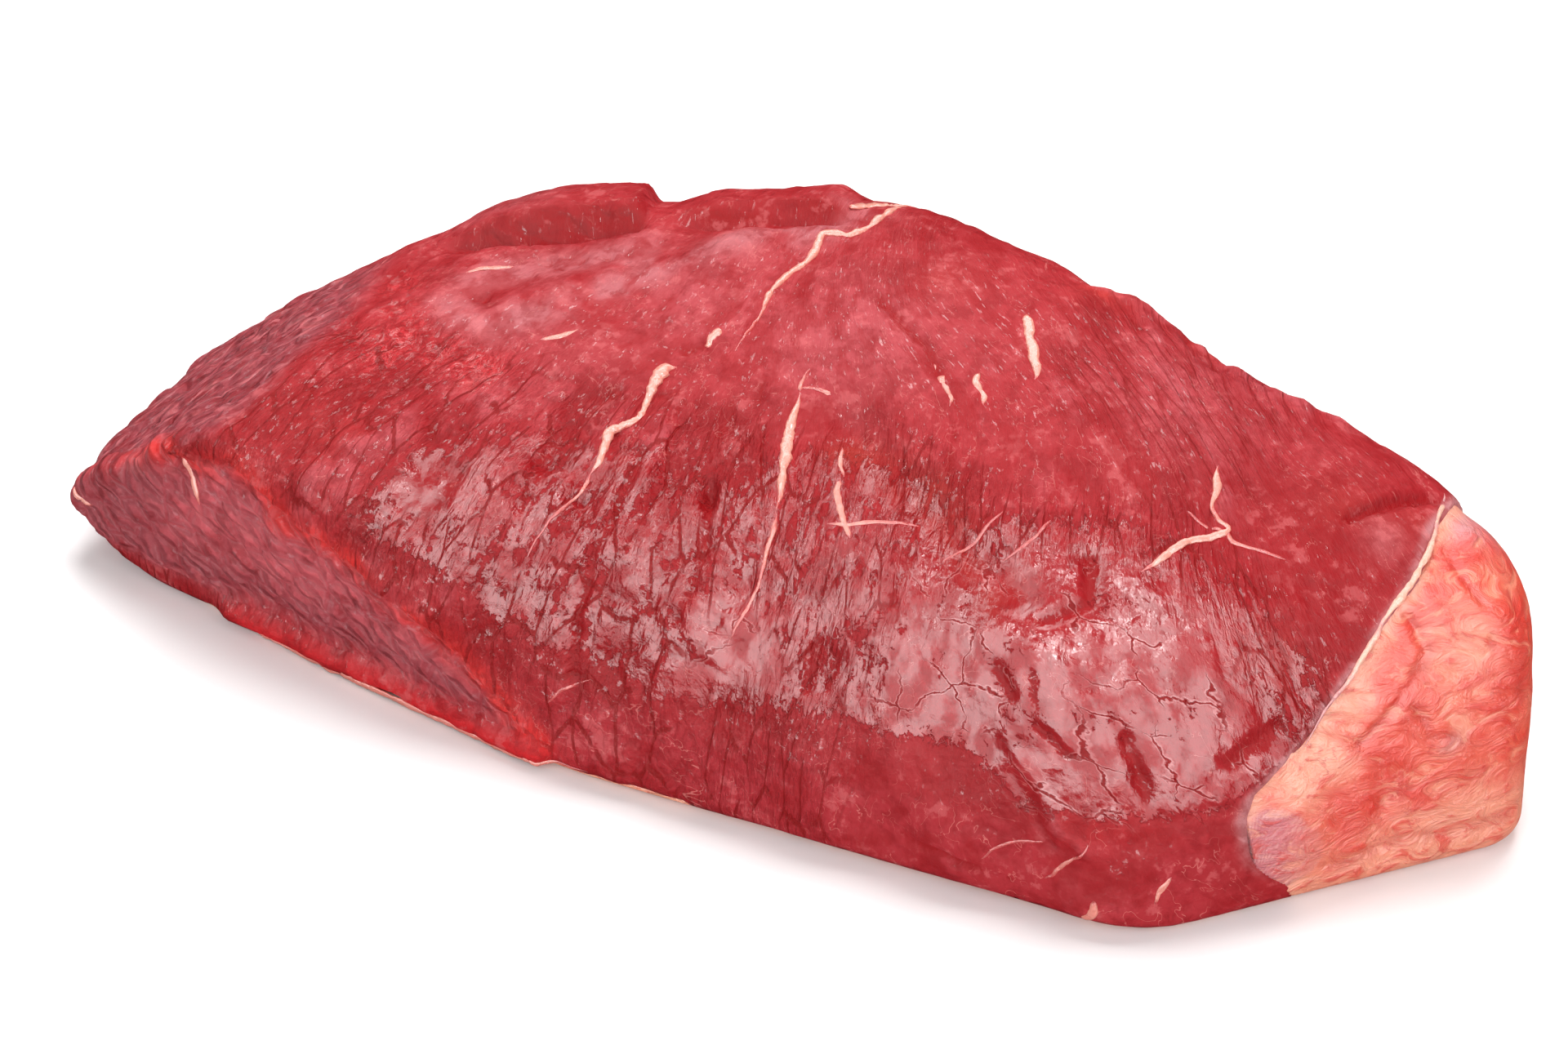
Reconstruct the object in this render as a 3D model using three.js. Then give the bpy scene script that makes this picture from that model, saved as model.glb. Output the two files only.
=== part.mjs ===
// A raw beef rump, one solid piece of meat lying on its fat side.
// Millimetres, +X along the length towards the fat end, +Z up, origin at the middle of the underside.
//
// The form is where a set of named faces meet: walls that stand round the piece, a curved top, the
// underside and the three faces of the trimmed left end. Neighbouring faces run into each other with a
// rounding. The surface is found along rays from a point inside, on a grid of two angles, and the
// raised and sunk forms, such as flaps, seams and the fat end, are then added along its normal.

import * as THREE from 'three';

// Walls round the piece: compass bearing of the outward normal and lean above level, both in degrees,
// and distance from the origin at the floor.
const WALLS = [
  { name: 'front', bearing: -84, lean: -2, distance: 88.7 },
  { name: 'toe', bearing: -43, lean: 6.5, distance: 139 },
  { name: 'fat end', bearing: 24.5, lean: 2, distance: 166.2 },
  { name: 'back of the fat end', bearing: 56, lean: 8.5, distance: 120.4 },
  { name: 'back right', bearing: 77, lean: 14, distance: 84.8 },
  { name: 'back left', bearing: 107, lean: 16, distance: 91.4 },
  { name: 'back of the flank', bearing: 136.5, lean: 25, distance: 124.7 },
];
const WALL_ROUNDING = 8;

// Trimmed left end: a sloping flank, an underside that curls up to the tip, and the cut face.
const FLANK = { bearing: 180, lean: 51.5, distance: 128.1, rounding: 8 };
const CURL = { bearing: 186, lean: -47.5, distance: 115.7, rounding: 10 };
const CUT_FACE = { bearing: -95.5, lean: 3, distance: 93.6, rounding: 6 };
const FLOOR_ROUNDING = 6;

// Top: height of the crown, its drop towards either end, the line that it follows, and its fall.
const CROWN_HEIGHT = 82;
const LEFT_DROP = { depth: 20, from: -15.8, to: 154.2 };
const RIGHT_DROP = { depth: 10, from: 65.8, to: 170.8 };
const CROWN_LINE = { y: 31, shift: -58, from: 4, to: 154 };
const FRONT_FALL = { curve: 0.0027, ease: -0.0015, from: 24, to: 154 };
const BACK_FALL = 0.0012;
const BACK_DENT = { x: 88.3, y: 48.7, long: 20, wide: 22, depth: 6.4 };

// Rounding between the top and the walls: a broad shoulder in front and a tighter one at the back.
const SHOULDER = { front: 46, back: 22, from: -29, to: 31 };

// Layers of muscle along the back rim: the ground line of each front edge, how far the layer stands
// up behind that edge, and the crease that runs in front of it.
const LAYERS = [
  { from: [-116, 12], to: [-71, 32], height: 4.6, crease: 2.2, end: 0.04 },
  { from: [-65, 37], to: [-20, 50], height: 2.4, crease: 1.6, end: 0.12 },
];
const LAYER_EDGE = 3;
const CREASE_WIDTH = 4;

// Furrows and folds: a line over the surface, its half width and its depth. A fold has a depth below 0.
const FURROWS = [
  { name: 'valley across the front', from: [14, -21, 76], to: [72, -49, 64], width: 7, depth: 2.8 },
  { name: 'valley across the top', from: [-3, 21, 81], to: [36, -8, 78], width: 4.5, depth: 1.5 },
  { name: 'main seam', from: [-14, 44, 80], to: [-23, -10, 75], width: 4, depth: 1.3 },
  { name: 'seam below the strand', from: [-31, -22, 72], to: [-38, -60, 58], width: 4, depth: 1.6 },
  { name: 'front seam', from: [2, -30, 71], to: [10, -66, 52], width: 4, depth: 1.4 },
  { name: 'slit on the shoulder', from: [-18, -45, 66], to: [-28, -74, 44], width: 3.5, depth: 1.5 },
  { name: 'fold of the sheath', from: [-80, -22, 69], to: [-30, 42, 78], width: 6, depth: -1.4 },
  { name: 'crease over the cut', from: [-104, -74, 48], to: [-62, -85, 30], width: 4, depth: -0.9 },
];

// Roll of muscle along the foot of the cut face.
const FOOT_ROLL = { from: [-128, -80, 4.5], to: [-36, -88, 5], width: 4, height: 2.6 };

// Fat end: the fat starts past this line and stands a little below the lean edge that laps over it.
const FAT_END = { x: 147, hook: 14, hookY: -46, hookWide: 14, step: 1.8, fade: 3, bulge: 1.6, rise: 14 };
const GRISTLE = { at: [141, -53, 16], radius: 12, height: 2 };

// Soft bundles of fibre under the skin: bearing across each set, its spacing, height and phase.
const BUNDLES = [
  { bearing: 4, spacing: 34, height: 0.35, phase: 0.4 },
  { bearing: -22, spacing: 27, height: 0.28, phase: 2.1 },
  { bearing: 71, spacing: 47, height: 0.35, phase: 1.3 },
  { bearing: 38, spacing: 39, height: 0.25, phase: 4.2 },
];
const BUNDLE_DROP = 0.6;
const BUNDLE_ENDS = { from: 120, to: 165 };

// Underside: relief fades out over this height, so that the piece rests on a flat face.
const RELIEF_FADE = { from: 1, to: 9 };

// Grid: a point inside, the stretch of the ray directions, and the number of steps each way. The steps
// round the piece crowd together over the top.
const HEART = [0, -15, 34];
const RAY_STRETCH = [185, 85, 40];
const STEPS_ALONG = 76;
const STEPS_ROUND = 72;
const TOP_CROWDING = 0.42;
const LONGEST_RAY = 2.2;
const HALVINGS = 40;

const LEAN_RED = 0xa3333f;

const radians = THREE.MathUtils.degToRad;

// Smooth step from 0 at a to 1 at b.
function ease(value, a, b) {
  const t = THREE.MathUtils.clamp((value - a) / (b - a), 0, 1);
  return t * t * (3 - 2 * t);
}

// The larger of two distances, with a rounding where they are nearly equal.
function meet(a, b, rounding) {
  const near = Math.max(rounding - Math.abs(a - b), 0) / rounding;
  return Math.max(a, b) + (near * near * rounding) / 4;
}

// Distance of a point outside a flat face.
function outside(face, x, y, z) {
  const bearing = radians(face.bearing);
  const lean = radians(face.lean);
  const level = (x * Math.cos(bearing) + y * Math.sin(bearing)) * Math.cos(lean);
  return level + z * Math.sin(lean) - face.distance;
}

// Height of the top over a place on the ground.
function topHeight(x, y) {
  const left = ease(-x, LEFT_DROP.from, LEFT_DROP.to) * LEFT_DROP.depth;
  const right = ease(x, RIGHT_DROP.from, RIGHT_DROP.to) * RIGHT_DROP.depth;
  const crown = CROWN_HEIGHT - left - right;
  const across = y - CROWN_LINE.y - CROWN_LINE.shift * ease(-x, CROWN_LINE.from, CROWN_LINE.to);
  const front = FRONT_FALL.curve + FRONT_FALL.ease * ease(-x, FRONT_FALL.from, FRONT_FALL.to);
  const fall = (across < 0 ? front : BACK_FALL) * across * across;
  const along = (x - BACK_DENT.x) / BACK_DENT.long;
  const aside = (y - BACK_DENT.y) / BACK_DENT.wide;
  return crown - fall - BACK_DENT.depth * Math.exp(-along * along - aside * aside);
}

// Negative inside the piece and positive outside, near 0 at its surface.
function form(x, y, z) {
  let walls = -Infinity;
  for (const wall of WALLS) {
    const distance = outside(wall, x, y, z);
    walls = walls === -Infinity ? distance : meet(walls, distance, WALL_ROUNDING);
  }
  const shoulder = SHOULDER.front + (SHOULDER.back - SHOULDER.front) * ease(y, SHOULDER.from, SHOULDER.to);
  let shape = meet(walls, z - topHeight(x, y), shoulder);
  shape = meet(shape, outside(FLANK, x, y, z), FLANK.rounding);
  shape = meet(shape, -z, FLOOR_ROUNDING);
  shape = meet(shape, outside(CURL, x, y, z), CURL.rounding);
  return meet(shape, outside(CUT_FACE, x, y, z), CUT_FACE.rounding);
}

// Distance of a point from a straight line between two others, and how far along it lies.
function fromLine(point, start, end) {
  const line = new THREE.Line3(new THREE.Vector3(...start), new THREE.Vector3(...end));
  const along = line.closestPointToPointParameter(point, true);
  return { distance: line.at(along, new THREE.Vector3()).distanceTo(point), along };
}

// Bell of height 1 and the given half width.
function bell(distance, width) {
  return Math.exp(-(distance * distance) / (width * width));
}

// A layer along the back rim: raised behind its front edge, with a crease before it.
function layerRelief(layer, point) {
  const dx = layer.to[0] - layer.from[0];
  const dy = layer.to[1] - layer.from[1];
  const length = Math.hypot(dx, dy);
  const px = point.x - layer.from[0];
  const py = point.y - layer.from[1];
  const along = (px * dx + py * dy) / (length * length);
  const behind = (dx * py - dy * px) / length;
  const span = ease(along, -0.1, 0.25) * (1 - ease(along, 1 - layer.end, 1 + layer.end));
  const raised = layer.height * ease(behind, -LAYER_EDGE / 2, LAYER_EDGE / 2);
  return span * (raised - layer.crease * bell(behind + CREASE_WIDTH, CREASE_WIDTH));
}

// The fat end: a step down past the lean edge, a swell behind the step, and the lump of gristle.
function fatRelief(point) {
  const hook = FAT_END.hook * bell(point.y - FAT_END.hookY, FAT_END.hookWide);
  const past = point.x - FAT_END.x + hook;
  const step = -FAT_END.step * ease(past, 0, FAT_END.fade);
  const swell = FAT_END.bulge * ease(past, FAT_END.fade, FAT_END.fade + FAT_END.rise);
  const gristle = GRISTLE.height * bell(point.distanceTo(new THREE.Vector3(...GRISTLE.at)), GRISTLE.radius);
  return step + swell + gristle;
}

// All raised and sunk forms at a point of the plain form, in mm along its normal.
function relief(point) {
  let height = fatRelief(point);
  for (const layer of LAYERS) {
    height += layerRelief(layer, point);
  }
  for (const furrow of FURROWS) {
    const { distance } = fromLine(point, furrow.from, furrow.to);
    height -= furrow.depth * bell(distance, furrow.width);
  }
  height += FOOT_ROLL.height * bell(fromLine(point, FOOT_ROLL.from, FOOT_ROLL.to).distance, FOOT_ROLL.width);
  const bundled = 1 - ease(Math.abs(point.x), BUNDLE_ENDS.from, BUNDLE_ENDS.to);
  for (const set of BUNDLES) {
    const bearing = radians(set.bearing);
    const across = point.x * Math.cos(bearing) + point.y * Math.sin(bearing) + BUNDLE_DROP * point.z;
    height += bundled * set.height * Math.sin((2 * Math.PI * across) / set.spacing + set.phase);
  }
  return height * ease(point.z, RELIEF_FADE.from, RELIEF_FADE.to);
}

// Outward normal of the plain form.
function normalAt(point) {
  const reach = 0.5;
  const { x, y, z } = point;
  return new THREE.Vector3(
    form(x + reach, y, z) - form(x - reach, y, z),
    form(x, y + reach, z) - form(x, y - reach, z),
    form(x, y, z + reach) - form(x, y, z - reach),
  ).normalize();
}

// The point of the finished surface on the ray of two angles: one from tip to fat end, one round.
function surfacePoint(along, round) {
  const ray = new THREE.Vector3(
    -Math.cos(along) * RAY_STRETCH[0],
    Math.sin(along) * Math.cos(round) * RAY_STRETCH[1],
    Math.sin(along) * Math.sin(round) * RAY_STRETCH[2],
  );
  const heart = new THREE.Vector3(...HEART);
  let near = 0;
  let far = LONGEST_RAY;
  for (let i = 0; i < HALVINGS; i++) {
    const middle = (near + far) / 2;
    const { x, y, z } = ray.clone().multiplyScalar(middle).add(heart);
    if (form(x, y, z) < 0) {
      near = middle;
    } else {
      far = middle;
    }
  }
  const point = heart.addScaledVector(ray, near);
  return point.addScaledVector(normalAt(point), relief(point));
}

// Closed mesh: a point at either end, rings of points between, and triangles that join them.
function rumpGeometry() {
  const points = [surfacePoint(0, 0)];
  for (let i = 1; i < STEPS_ALONG; i++) {
    for (let j = 0; j < STEPS_ROUND; j++) {
      const even = (2 * Math.PI * j) / STEPS_ROUND;
      points.push(surfacePoint((Math.PI * i) / STEPS_ALONG, even + TOP_CROWDING * Math.cos(even)));
    }
  }
  points.push(surfacePoint(Math.PI, 0));

  const last = points.length - 1;
  const at = (i, j) => 1 + (i - 1) * STEPS_ROUND + (j % STEPS_ROUND);
  const triangles = [];
  for (let j = 0; j < STEPS_ROUND; j++) {
    triangles.push(0, at(1, j + 1), at(1, j));
    triangles.push(last, at(STEPS_ALONG - 1, j), at(STEPS_ALONG - 1, j + 1));
    for (let i = 1; i < STEPS_ALONG - 1; i++) {
      triangles.push(at(i, j), at(i, j + 1), at(i + 1, j + 1));
      triangles.push(at(i, j), at(i + 1, j + 1), at(i + 1, j));
    }
  }

  const geometry = new THREE.BufferGeometry();
  geometry.setFromPoints(points);
  geometry.setIndex(triangles);
  geometry.computeVertexNormals();
  return geometry;
}

const material = new THREE.MeshStandardMaterial({ color: LEAN_RED, roughness: 0.35, metalness: 0 });
const rump = new THREE.Mesh(rumpGeometry(), material);
rump.name = 'beef_rump';

const model = new THREE.Group();
model.add(rump);

export default model;
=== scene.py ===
"""A raw beef rump: one piece of lean meat with its fat side, strands of fat and sinew, on a pale floor.

Sizes are in millimetres, +X along the length towards the fat end and +Z up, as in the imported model.
Meshes are made in metres. Colours are written as 8-bit values of the real finish.
"""
import math
import bpy
import numpy as np
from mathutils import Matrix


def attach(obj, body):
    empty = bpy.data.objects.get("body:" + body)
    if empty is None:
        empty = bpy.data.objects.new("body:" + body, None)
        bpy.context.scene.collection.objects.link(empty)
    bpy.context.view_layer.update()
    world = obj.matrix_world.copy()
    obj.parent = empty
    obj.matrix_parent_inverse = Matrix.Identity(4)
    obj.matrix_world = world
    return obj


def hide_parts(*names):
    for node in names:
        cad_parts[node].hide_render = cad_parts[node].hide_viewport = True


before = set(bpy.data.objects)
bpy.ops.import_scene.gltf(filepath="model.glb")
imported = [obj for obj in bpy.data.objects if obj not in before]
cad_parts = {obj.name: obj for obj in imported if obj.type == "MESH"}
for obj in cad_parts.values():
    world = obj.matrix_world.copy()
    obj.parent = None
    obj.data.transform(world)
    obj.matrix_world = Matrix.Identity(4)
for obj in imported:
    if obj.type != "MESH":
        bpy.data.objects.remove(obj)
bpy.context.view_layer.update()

# Lean meat.
# The body of the cut is one muscle mass of deep red beef, trimmed by a knife at the left end.
# A wet film covers it, which is smooth over the front shoulder and torn and pitted elsewhere.

MM = 0.001

# Walls round the piece: bearing and lean of the outward normal in degrees, distance at the floor.
WALLS = (
    (-84, -2, 88.7),
    (-43, 6.5, 139),
    (24.5, 2, 166.2),
    (56, 8.5, 120.4),
    (77, 14, 84.8),
    (107, 16, 91.4),
    (136.5, 25, 124.7),
)
WALL_ROUNDING = 8
# Flat faces of the trimmed left end, as bearing, lean and distance, and how round each edge is.
FLANK = (180, 51.5, 128.1)
CURL = (186, -47.5, 115.7)
CUT_FACE = (-95.5, 3, 93.6)
FLANK_ROUNDING, CURL_ROUNDING, CUT_ROUNDING, FLOOR_ROUNDING = 8, 10, 4, 6
CROWN_HEIGHT = 82
SHOULDER_FRONT, SHOULDER_BACK = 46, 22

# Layers of muscle on the back rim: ground line of the front edge, height, crease and softness of the end.
LAYERS = (
    ((-118, 12), (-71, 32), 5.2, 3.6, 0.04),
    ((-63, 35), (-22, 48), 3.4, 2.6, 0.10),
)
LAYER_EDGE = 1.6
CREASE_WIDTH = 2.6

# Broad furrows: start, end, half width and depth. A fold has a depth below 0.
FURROWS = (
    ((14, -21, 76), (72, -49, 64), 5, 2.6),
    ((-14, 44, 80), (-23, -10, 75), 3, 1.1),
    ((-31, -22, 72), (-38, -60, 58), 3, 1.2),
    ((2, -30, 71), (10, -66, 52), 3, 1.0),
    ((-18, -45, 66), (-28, -74, 44), 2.2, 1.2),
    ((-94, -23, 67), (-24, 41, 79), 6, -1.4),
    ((-104, -74, 48), (-62, -85, 30), 4, -0.9),
)
# A roll of meat along the foot of the cut face, and the crease above it.
FOOT_ROLL = ((-128, -81, 4), (-34, -90, 4), 3.6, 3.0)
FOOT_CREASE = ((-130, -80, 10.5), (-44, -89, 9.5), 2.4, 1.0)
# Waves of the fibre bundles: bearing in degrees, spacing, height and phase.
BUNDLES = ((4, 34, 0.35, 0.4), (-22, 27, 0.28, 2.1), (71, 47, 0.35, 1.3), (38, 39, 0.25, 4.2))
BUNDLE_DROP = 0.6

# Creases, narrow and dark with painted shade: half width, depth and points. A ridge has a depth below 0.
CREASES = (
    (1.2, 1.5, ((2, 18, 81), (11, 12, 81), (21, 7, 80), (27, 0, 79))),
    (0.9, 1.1, ((33, -4, 79), (39, -14, 77), (41, -19, 75), (42, -24, 74))),
    (1.3, 1.4, ((-34, -14, 74), (-31, -10, 75))),
    (1.7, 2.6, ((-10, -46, 65), (-9, -50, 63))),
    (1.0, 1.8, ((-10, -48, 64), (-7, -53, 62), (-5, -59, 58), (-3, -68, 51), (-4, -73, 45))),
    (0.9, 1.1, ((-26, -28, 71), (-27, -34, 69))),
    (0.9, 1.0, ((-12, -16, 75), (-10, -22, 73))),
    (1.0, 0.9, ((-16, -23, 72), (-15, -28, 71), (-14, -38, 68))),
    (1.5, 1.6, ((-44, -30, 69), (-47, -34, 69))),
    (1.1, 1.2, ((-50, -42, 66), (-50, -49, 64), (-53, -57, 61))),
    (1.2, 1.9, ((-29, -45, 65), (-28, -59, 58), (-29, -68, 52), (-28, -79, 40), (-26, -85, 28))),
    (1.2, 1.5, ((-68, -64, 60), (-69, -73, 54))),
    (1.1, 1.4, ((-48, -50, 63), (-51, -62, 58), (-50, -69, 53))),
    (1.2, 1.3, ((44, -47, 65), (44, -58, 58))),
    (1.8, 1.8, ((83, -34, 70), (87, -44, 65), (79, -51, 62))),
    (1.7, 1.8, ((74, -62, 54), (79, -65, 50))),
    (1.8, 2.0, ((106, -62, 46), (114, -66, 35))),
    (2.4, 1.2, ((127, -51, 40), (135, -42, 45))),
    (1.1, 1.4, ((82, -61, 54), (86, -67, 46), (95, -69, 42))),
    (2.2, 1.6, ((31, -75, 41), (31, -69, 49))),
    (1.5, 1.4, ((36, -70, 48), (36, -74, 41))),
    (1.3, 2.4, ((131, 3, 73), (139, 14, 73), (147, 23, 71))),
    (1.6, -1.2, ((79, -70, 43), (85, -72, 38), (90, -73, 35), (97, -76, 25), (103, -76, 21))),
    (1.0, 1.4, ((83, -73, 35), (88, -74, 32), (95, -77, 22))),
    (1.2, 1.4, ((60, -84, 12), (79, -80, 10), (92, -78, 8))),
)
# How much wider than each crease its painted shade spreads.
CREASE_SHADE_SPREAD = 1.15

# Dimples: middle, half width and depth. A scrap that stands up on the back rim has a depth below 0.
DIMPLES = (
    ((-86, 8, 69), 2.0, 1.8), ((-82, 12, 69), 1.7, 1.6), ((-77, 10, 71), 2.0, 1.8), ((-71, 12, 72), 1.8, 1.6),
    ((-93, -12, 68), 2.2, 1.8), ((-89, -15, 68), 1.8, 1.6), ((-66, 15, 73), 1.6, 1.2), ((-62, 0, 73), 1.6, 0.9),
    ((-56, -5, 73), 1.8, 0.8), ((-47, 2, 75), 1.7, 0.8), ((-41, 8, 76), 1.6, 0.8), ((-52, 7, 75), 1.5, 0.7),
    ((47, 52, 77), 4.0, -1.5), ((54, 49, 77), 4.5, -1.8), ((62, 49, 75), 3.5, -1.0), ((76, 48, 72), 4.5, -1.8),
    ((86, 42, 73), 3.2, -1.0), ((99, 36, 75), 3.6, -1.4), ((107, 36, 74), 3.0, -1.2), ((114, 38, 73), 3.4, -1.6),
    ((103, -79, 8), 5.0, -1.2), ((112, -75, 9), 4.0, -1.0), ((-101, -75, 51), 3.0, -0.8),
)

# Grid of the lean body, crowded over the top and the front shoulder.
HEART = np.array((0.0, -15.0, 34.0))
RAY_STRETCH = np.array((185.0, 85.0, 40.0))
RAY_REACH, HALVINGS = 2.6, 26
STEPS_ALONG = 420
STEPS_ROUND = 232
TOP_CROWDING = 0.5
CROWD_BEARING = 2.1


def ease(value, low, high):
    """Smooth step: 0 below low, 1 above high, and t*t*(3-2t) between."""
    t = np.clip((value - low) / (high - low), 0, 1)
    return t * t * (3 - 2 * t)


def bell(distance, width):
    """Bell curve: e to the power of minus the square of distance over width."""
    return np.exp(-((distance / width) ** 2))


def meet(a, b, rounding):
    """The larger of two distances, raised by a quarter of the rounding where they are equal."""
    near = np.maximum(rounding - np.abs(a - b), 0) / rounding
    return np.maximum(a, b) + near * near * rounding / 4


def outside(face, p):
    """Distance of points outside a flat face: their product with its normal, less its own distance."""
    bearing, lean, distance = math.radians(face[0]), math.radians(face[1]), face[2]
    level = p[..., 0] * math.cos(bearing) + p[..., 1] * math.sin(bearing)
    return level * math.cos(lean) + p[..., 2] * math.sin(lean) - distance


def outside_walls(p):
    """Distance of points outside all the walls, which meet with a rounding."""
    distance = outside(WALLS[0], p)
    for wall in WALLS[1:]:
        distance = meet(distance, outside(wall, p), WALL_ROUNDING)
    return distance


def top_height(x, y):
    """Height of the top: a crown that drops to both ends, less a parabola across and a dent at the back."""
    crown = CROWN_HEIGHT - 20 * ease(-x, -15.8, 154.2) - 10 * ease(x, 65.8, 170.8)
    across = y - 31 + 58 * ease(-x, 4, 154)
    front = 0.0027 - 0.0015 * ease(-x, 24, 154)
    fall = np.where(across < 0, front, 0.0012) * across * across
    return crown - fall - 6.4 * bell(x - 88.3, 20) * bell(y - 48.7, 22)


def form(p):
    """Negative inside the piece, positive outside: walls, top, underside and left end, met in turn."""
    shoulder = SHOULDER_FRONT + (SHOULDER_BACK - SHOULDER_FRONT) * ease(p[..., 1], -29, 31)
    shape = meet(outside_walls(p), p[..., 2] - top_height(p[..., 0], p[..., 1]), shoulder)
    shape = meet(shape, outside(FLANK, p), FLANK_ROUNDING)
    shape = meet(shape, -p[..., 2], FLOOR_ROUNDING)
    shape = meet(shape, outside(CURL, p), CURL_ROUNDING)
    return meet(shape, outside(CUT_FACE, p), CUT_ROUNDING)


def on_form(rays):
    """Where rays from the heart leave the form: the stretch that is inside is halved until it is exact."""
    near = np.zeros(rays.shape[:-1])
    far = np.full(rays.shape[:-1], RAY_REACH)
    for _ in range(HALVINGS):
        middle = (near + far) / 2
        inside = form(HEART + rays * middle[..., None]) < 0
        near = np.where(inside, middle, near)
        far = np.where(inside, far, middle)
    return HEART + rays * near[..., None]


def normals(p):
    """Outward normals of the form: its differences over 1 mm along the three axes, made unit long."""
    reach = 0.5 * np.eye(3)
    slope = np.stack([form(p + step) - form(p - step) for step in reach], -1)
    return slope / np.linalg.norm(slope, axis=-1, keepdims=True)


def from_line(p, start, end):
    """Distance of points from a straight line, and how far along it they lie, from 0 to 1."""
    start, end = np.array(start, float), np.array(end, float)
    line = end - start
    along = np.clip((p - start) @ line / (line @ line), 0, 1)
    return np.linalg.norm(p - start - along[..., None] * line, axis=-1), along


def groove(value, width):
    """1 where a value is 0, falling in a straight line to 0 where it is as large as the width."""
    return np.maximum(1 - np.abs(value) / width, 0)


def near_path(p, path, width):
    """1 on a path of straight lines, falling as a bell curve of the distance from it."""
    distances = [from_line(p, start, end)[0] for start, end in zip(path[:-1], path[1:])]
    return bell(np.min(distances, axis=0), width)


def near_spots(p, spots):
    """1 at the middle of each spot (x, y, z, half width), falling as a bell curve round it."""
    return np.max([bell(np.linalg.norm(p - spot[:3], axis=-1), spot[3]) for spot in spots], axis=0)


def scatter(cell, seed):
    """Random values from 0 to 1, one for each lattice cell, by multiplying and folding its numbers."""
    c = cell.astype(np.int64).astype(np.uint32)
    mixed = c[..., 0] * np.uint32(374761393) + c[..., 1] * np.uint32(668265263)
    mixed = mixed + c[..., 2] * np.uint32(2246822519) + np.uint32(seed * 97463)
    mixed = (mixed ^ (mixed >> np.uint32(13))) * np.uint32(1274126177)
    return (mixed ^ (mixed >> np.uint32(16))) / 4294967295.0


def cloud(p, size, seed, octaves=3):
    """Smooth noise from -1 to 1: lattice values blended by smooth steps, each octave half as large."""
    total = np.zeros(p.shape[:-1])
    for octave in range(octaves):
        q = p * (2**octave) / size
        corner = np.floor(q)
        t = q - corner
        t = t * t * (3 - 2 * t)
        for index in range(8):
            side = np.array((index & 1, index >> 1 & 1, index >> 2))
            weight = np.prod(np.where(side, t, 1 - t), axis=-1)
            total += 0.5**octave * weight * (2 * scatter(corner + side, seed + octave) - 1)
    return total / (2 - 0.5 ** (octaves - 1))


def cells(p, size, seed):
    """Cells round scattered points: distance to the nearest and the next, and the nearest's random value."""
    q = p / size
    corner = np.floor(q)
    first = np.full(p.shape[:-1], 9.0)
    second = first.copy()
    value = np.zeros(p.shape[:-1])
    for index in range(27):
        cell = corner + np.array((index % 3, index // 3 % 3, index // 9)) - 1
        seeds = np.stack([scatter(cell, seed + k) for k in range(3)], -1)
        distance = np.linalg.norm(cell + seeds - q, axis=-1)
        closer = distance < first
        second = np.where(closer, first, np.minimum(second, distance))
        value = np.where(closer, seeds[..., 0], value)
        first = np.where(closer, distance, first)
    return first, second, value


def layer_parts(p):
    """For each layer of the back rim: how far behind its front edge, its share there, height and crease."""
    for start, end, raised, crease, soft in LAYERS:
        line = np.array(end, float) - start
        length = math.hypot(*line)
        q = p[..., :2] - start
        along = q @ line / length**2
        behind = (line[0] * q[..., 1] - line[1] * q[..., 0]) / length + 1.6 * cloud(p, 9, 31)
        yield behind, ease(along, -0.1, 0.25) * (1 - ease(along, 1 - soft, 1 + soft)), raised, crease


def layer_relief(p):
    """Layers of the back rim: a step up behind each front edge and a bell-shaped crease before it."""
    height = 0
    for behind, share, raised, crease in layer_parts(p):
        height = height + share * raised * ease(behind, -LAYER_EDGE / 2, LAYER_EDGE / 2)
        height = height - share * crease * bell(behind + CREASE_WIDTH, CREASE_WIDTH)
    return height


def wandered(p, size, reach, seed):
    """Points moved by noise, so that lines drawn by distance from them waver."""
    return p + reach * np.stack([cloud(p, size, seed + 3 * k, 2) for k in range(3)], -1)


def crease_relief(p):
    """Named creases, dimples and scraps, each a bell curve of the distance from its path or middle; painted shade in
    creases and dimples.
    """
    height, ink = np.zeros(p.shape[:-1]), np.zeros(p.shape[:-1])
    q = wandered(p, 5, 0.9, 51)
    for width, depth, path in CREASES:
        height = height - depth * near_path(q, path, width)
        if depth > 0:
            # ink: painted shade along the crease.
            ink = np.maximum(ink, near_path(q, path, width * CREASE_SHADE_SPREAD))
    for middle, width, depth in DIMPLES:
        near = bell(np.linalg.norm(q - middle, axis=-1), width)
        height = height - depth * near
        if depth > 0:
            ink = np.maximum(ink, 0.8 * near)
    return height, ink


def broad_relief(p):
    """Raised and sunk forms of the whole piece: layers, furrows and fibre bundles, then the foot roll."""
    height = layer_relief(p)
    wander = wandered(p, 16, 2.0, 41)
    for start, end, width, depth in FURROWS:
        height = height - depth * bell(from_line(wander, start, end)[0], width)
    bundled = 1 - ease(np.abs(p[..., 0]), 120, 165)
    for bearing, spacing, raised, phase in BUNDLES:
        turn = math.radians(bearing)
        across = p[..., 0] * math.cos(turn) + p[..., 1] * math.sin(turn) + BUNDLE_DROP * p[..., 2]
        height = height + bundled * raised * np.sin(2 * math.pi * across / spacing + phase)
    height = height * ease(p[..., 2], 1, 9)
    for (start, end, width, raised), sign in ((FOOT_ROLL, 1), (FOOT_CREASE, -1)):
        height = height + sign * raised * bell(from_line(p, start, end)[0], width) * ease(p[..., 2], 0, 2.5)
    return height


FAT_END_X = 149
# Front edge of the fat at the right end, by height: how far it stands from FAT_END_X.
FAT_EDGE_Z = (0, 6, 10, 15, 22, 27, 32, 36, 41, 48, 54, 60, 66, 70, 80)
FAT_EDGE_X = (145, 144, 140.5, 137.5, 134.5, 133, 133.5, 137, 140.5, 143, 145.5, 147.5, 150.5, 150.5, 147)


def body_side(p):
    """Distance of points outside the upright faces: walls, cut face and the sloping end."""
    return np.max([outside_walls(p), outside(CUT_FACE, p), outside(FLANK, p) + 2], axis=0)


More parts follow.
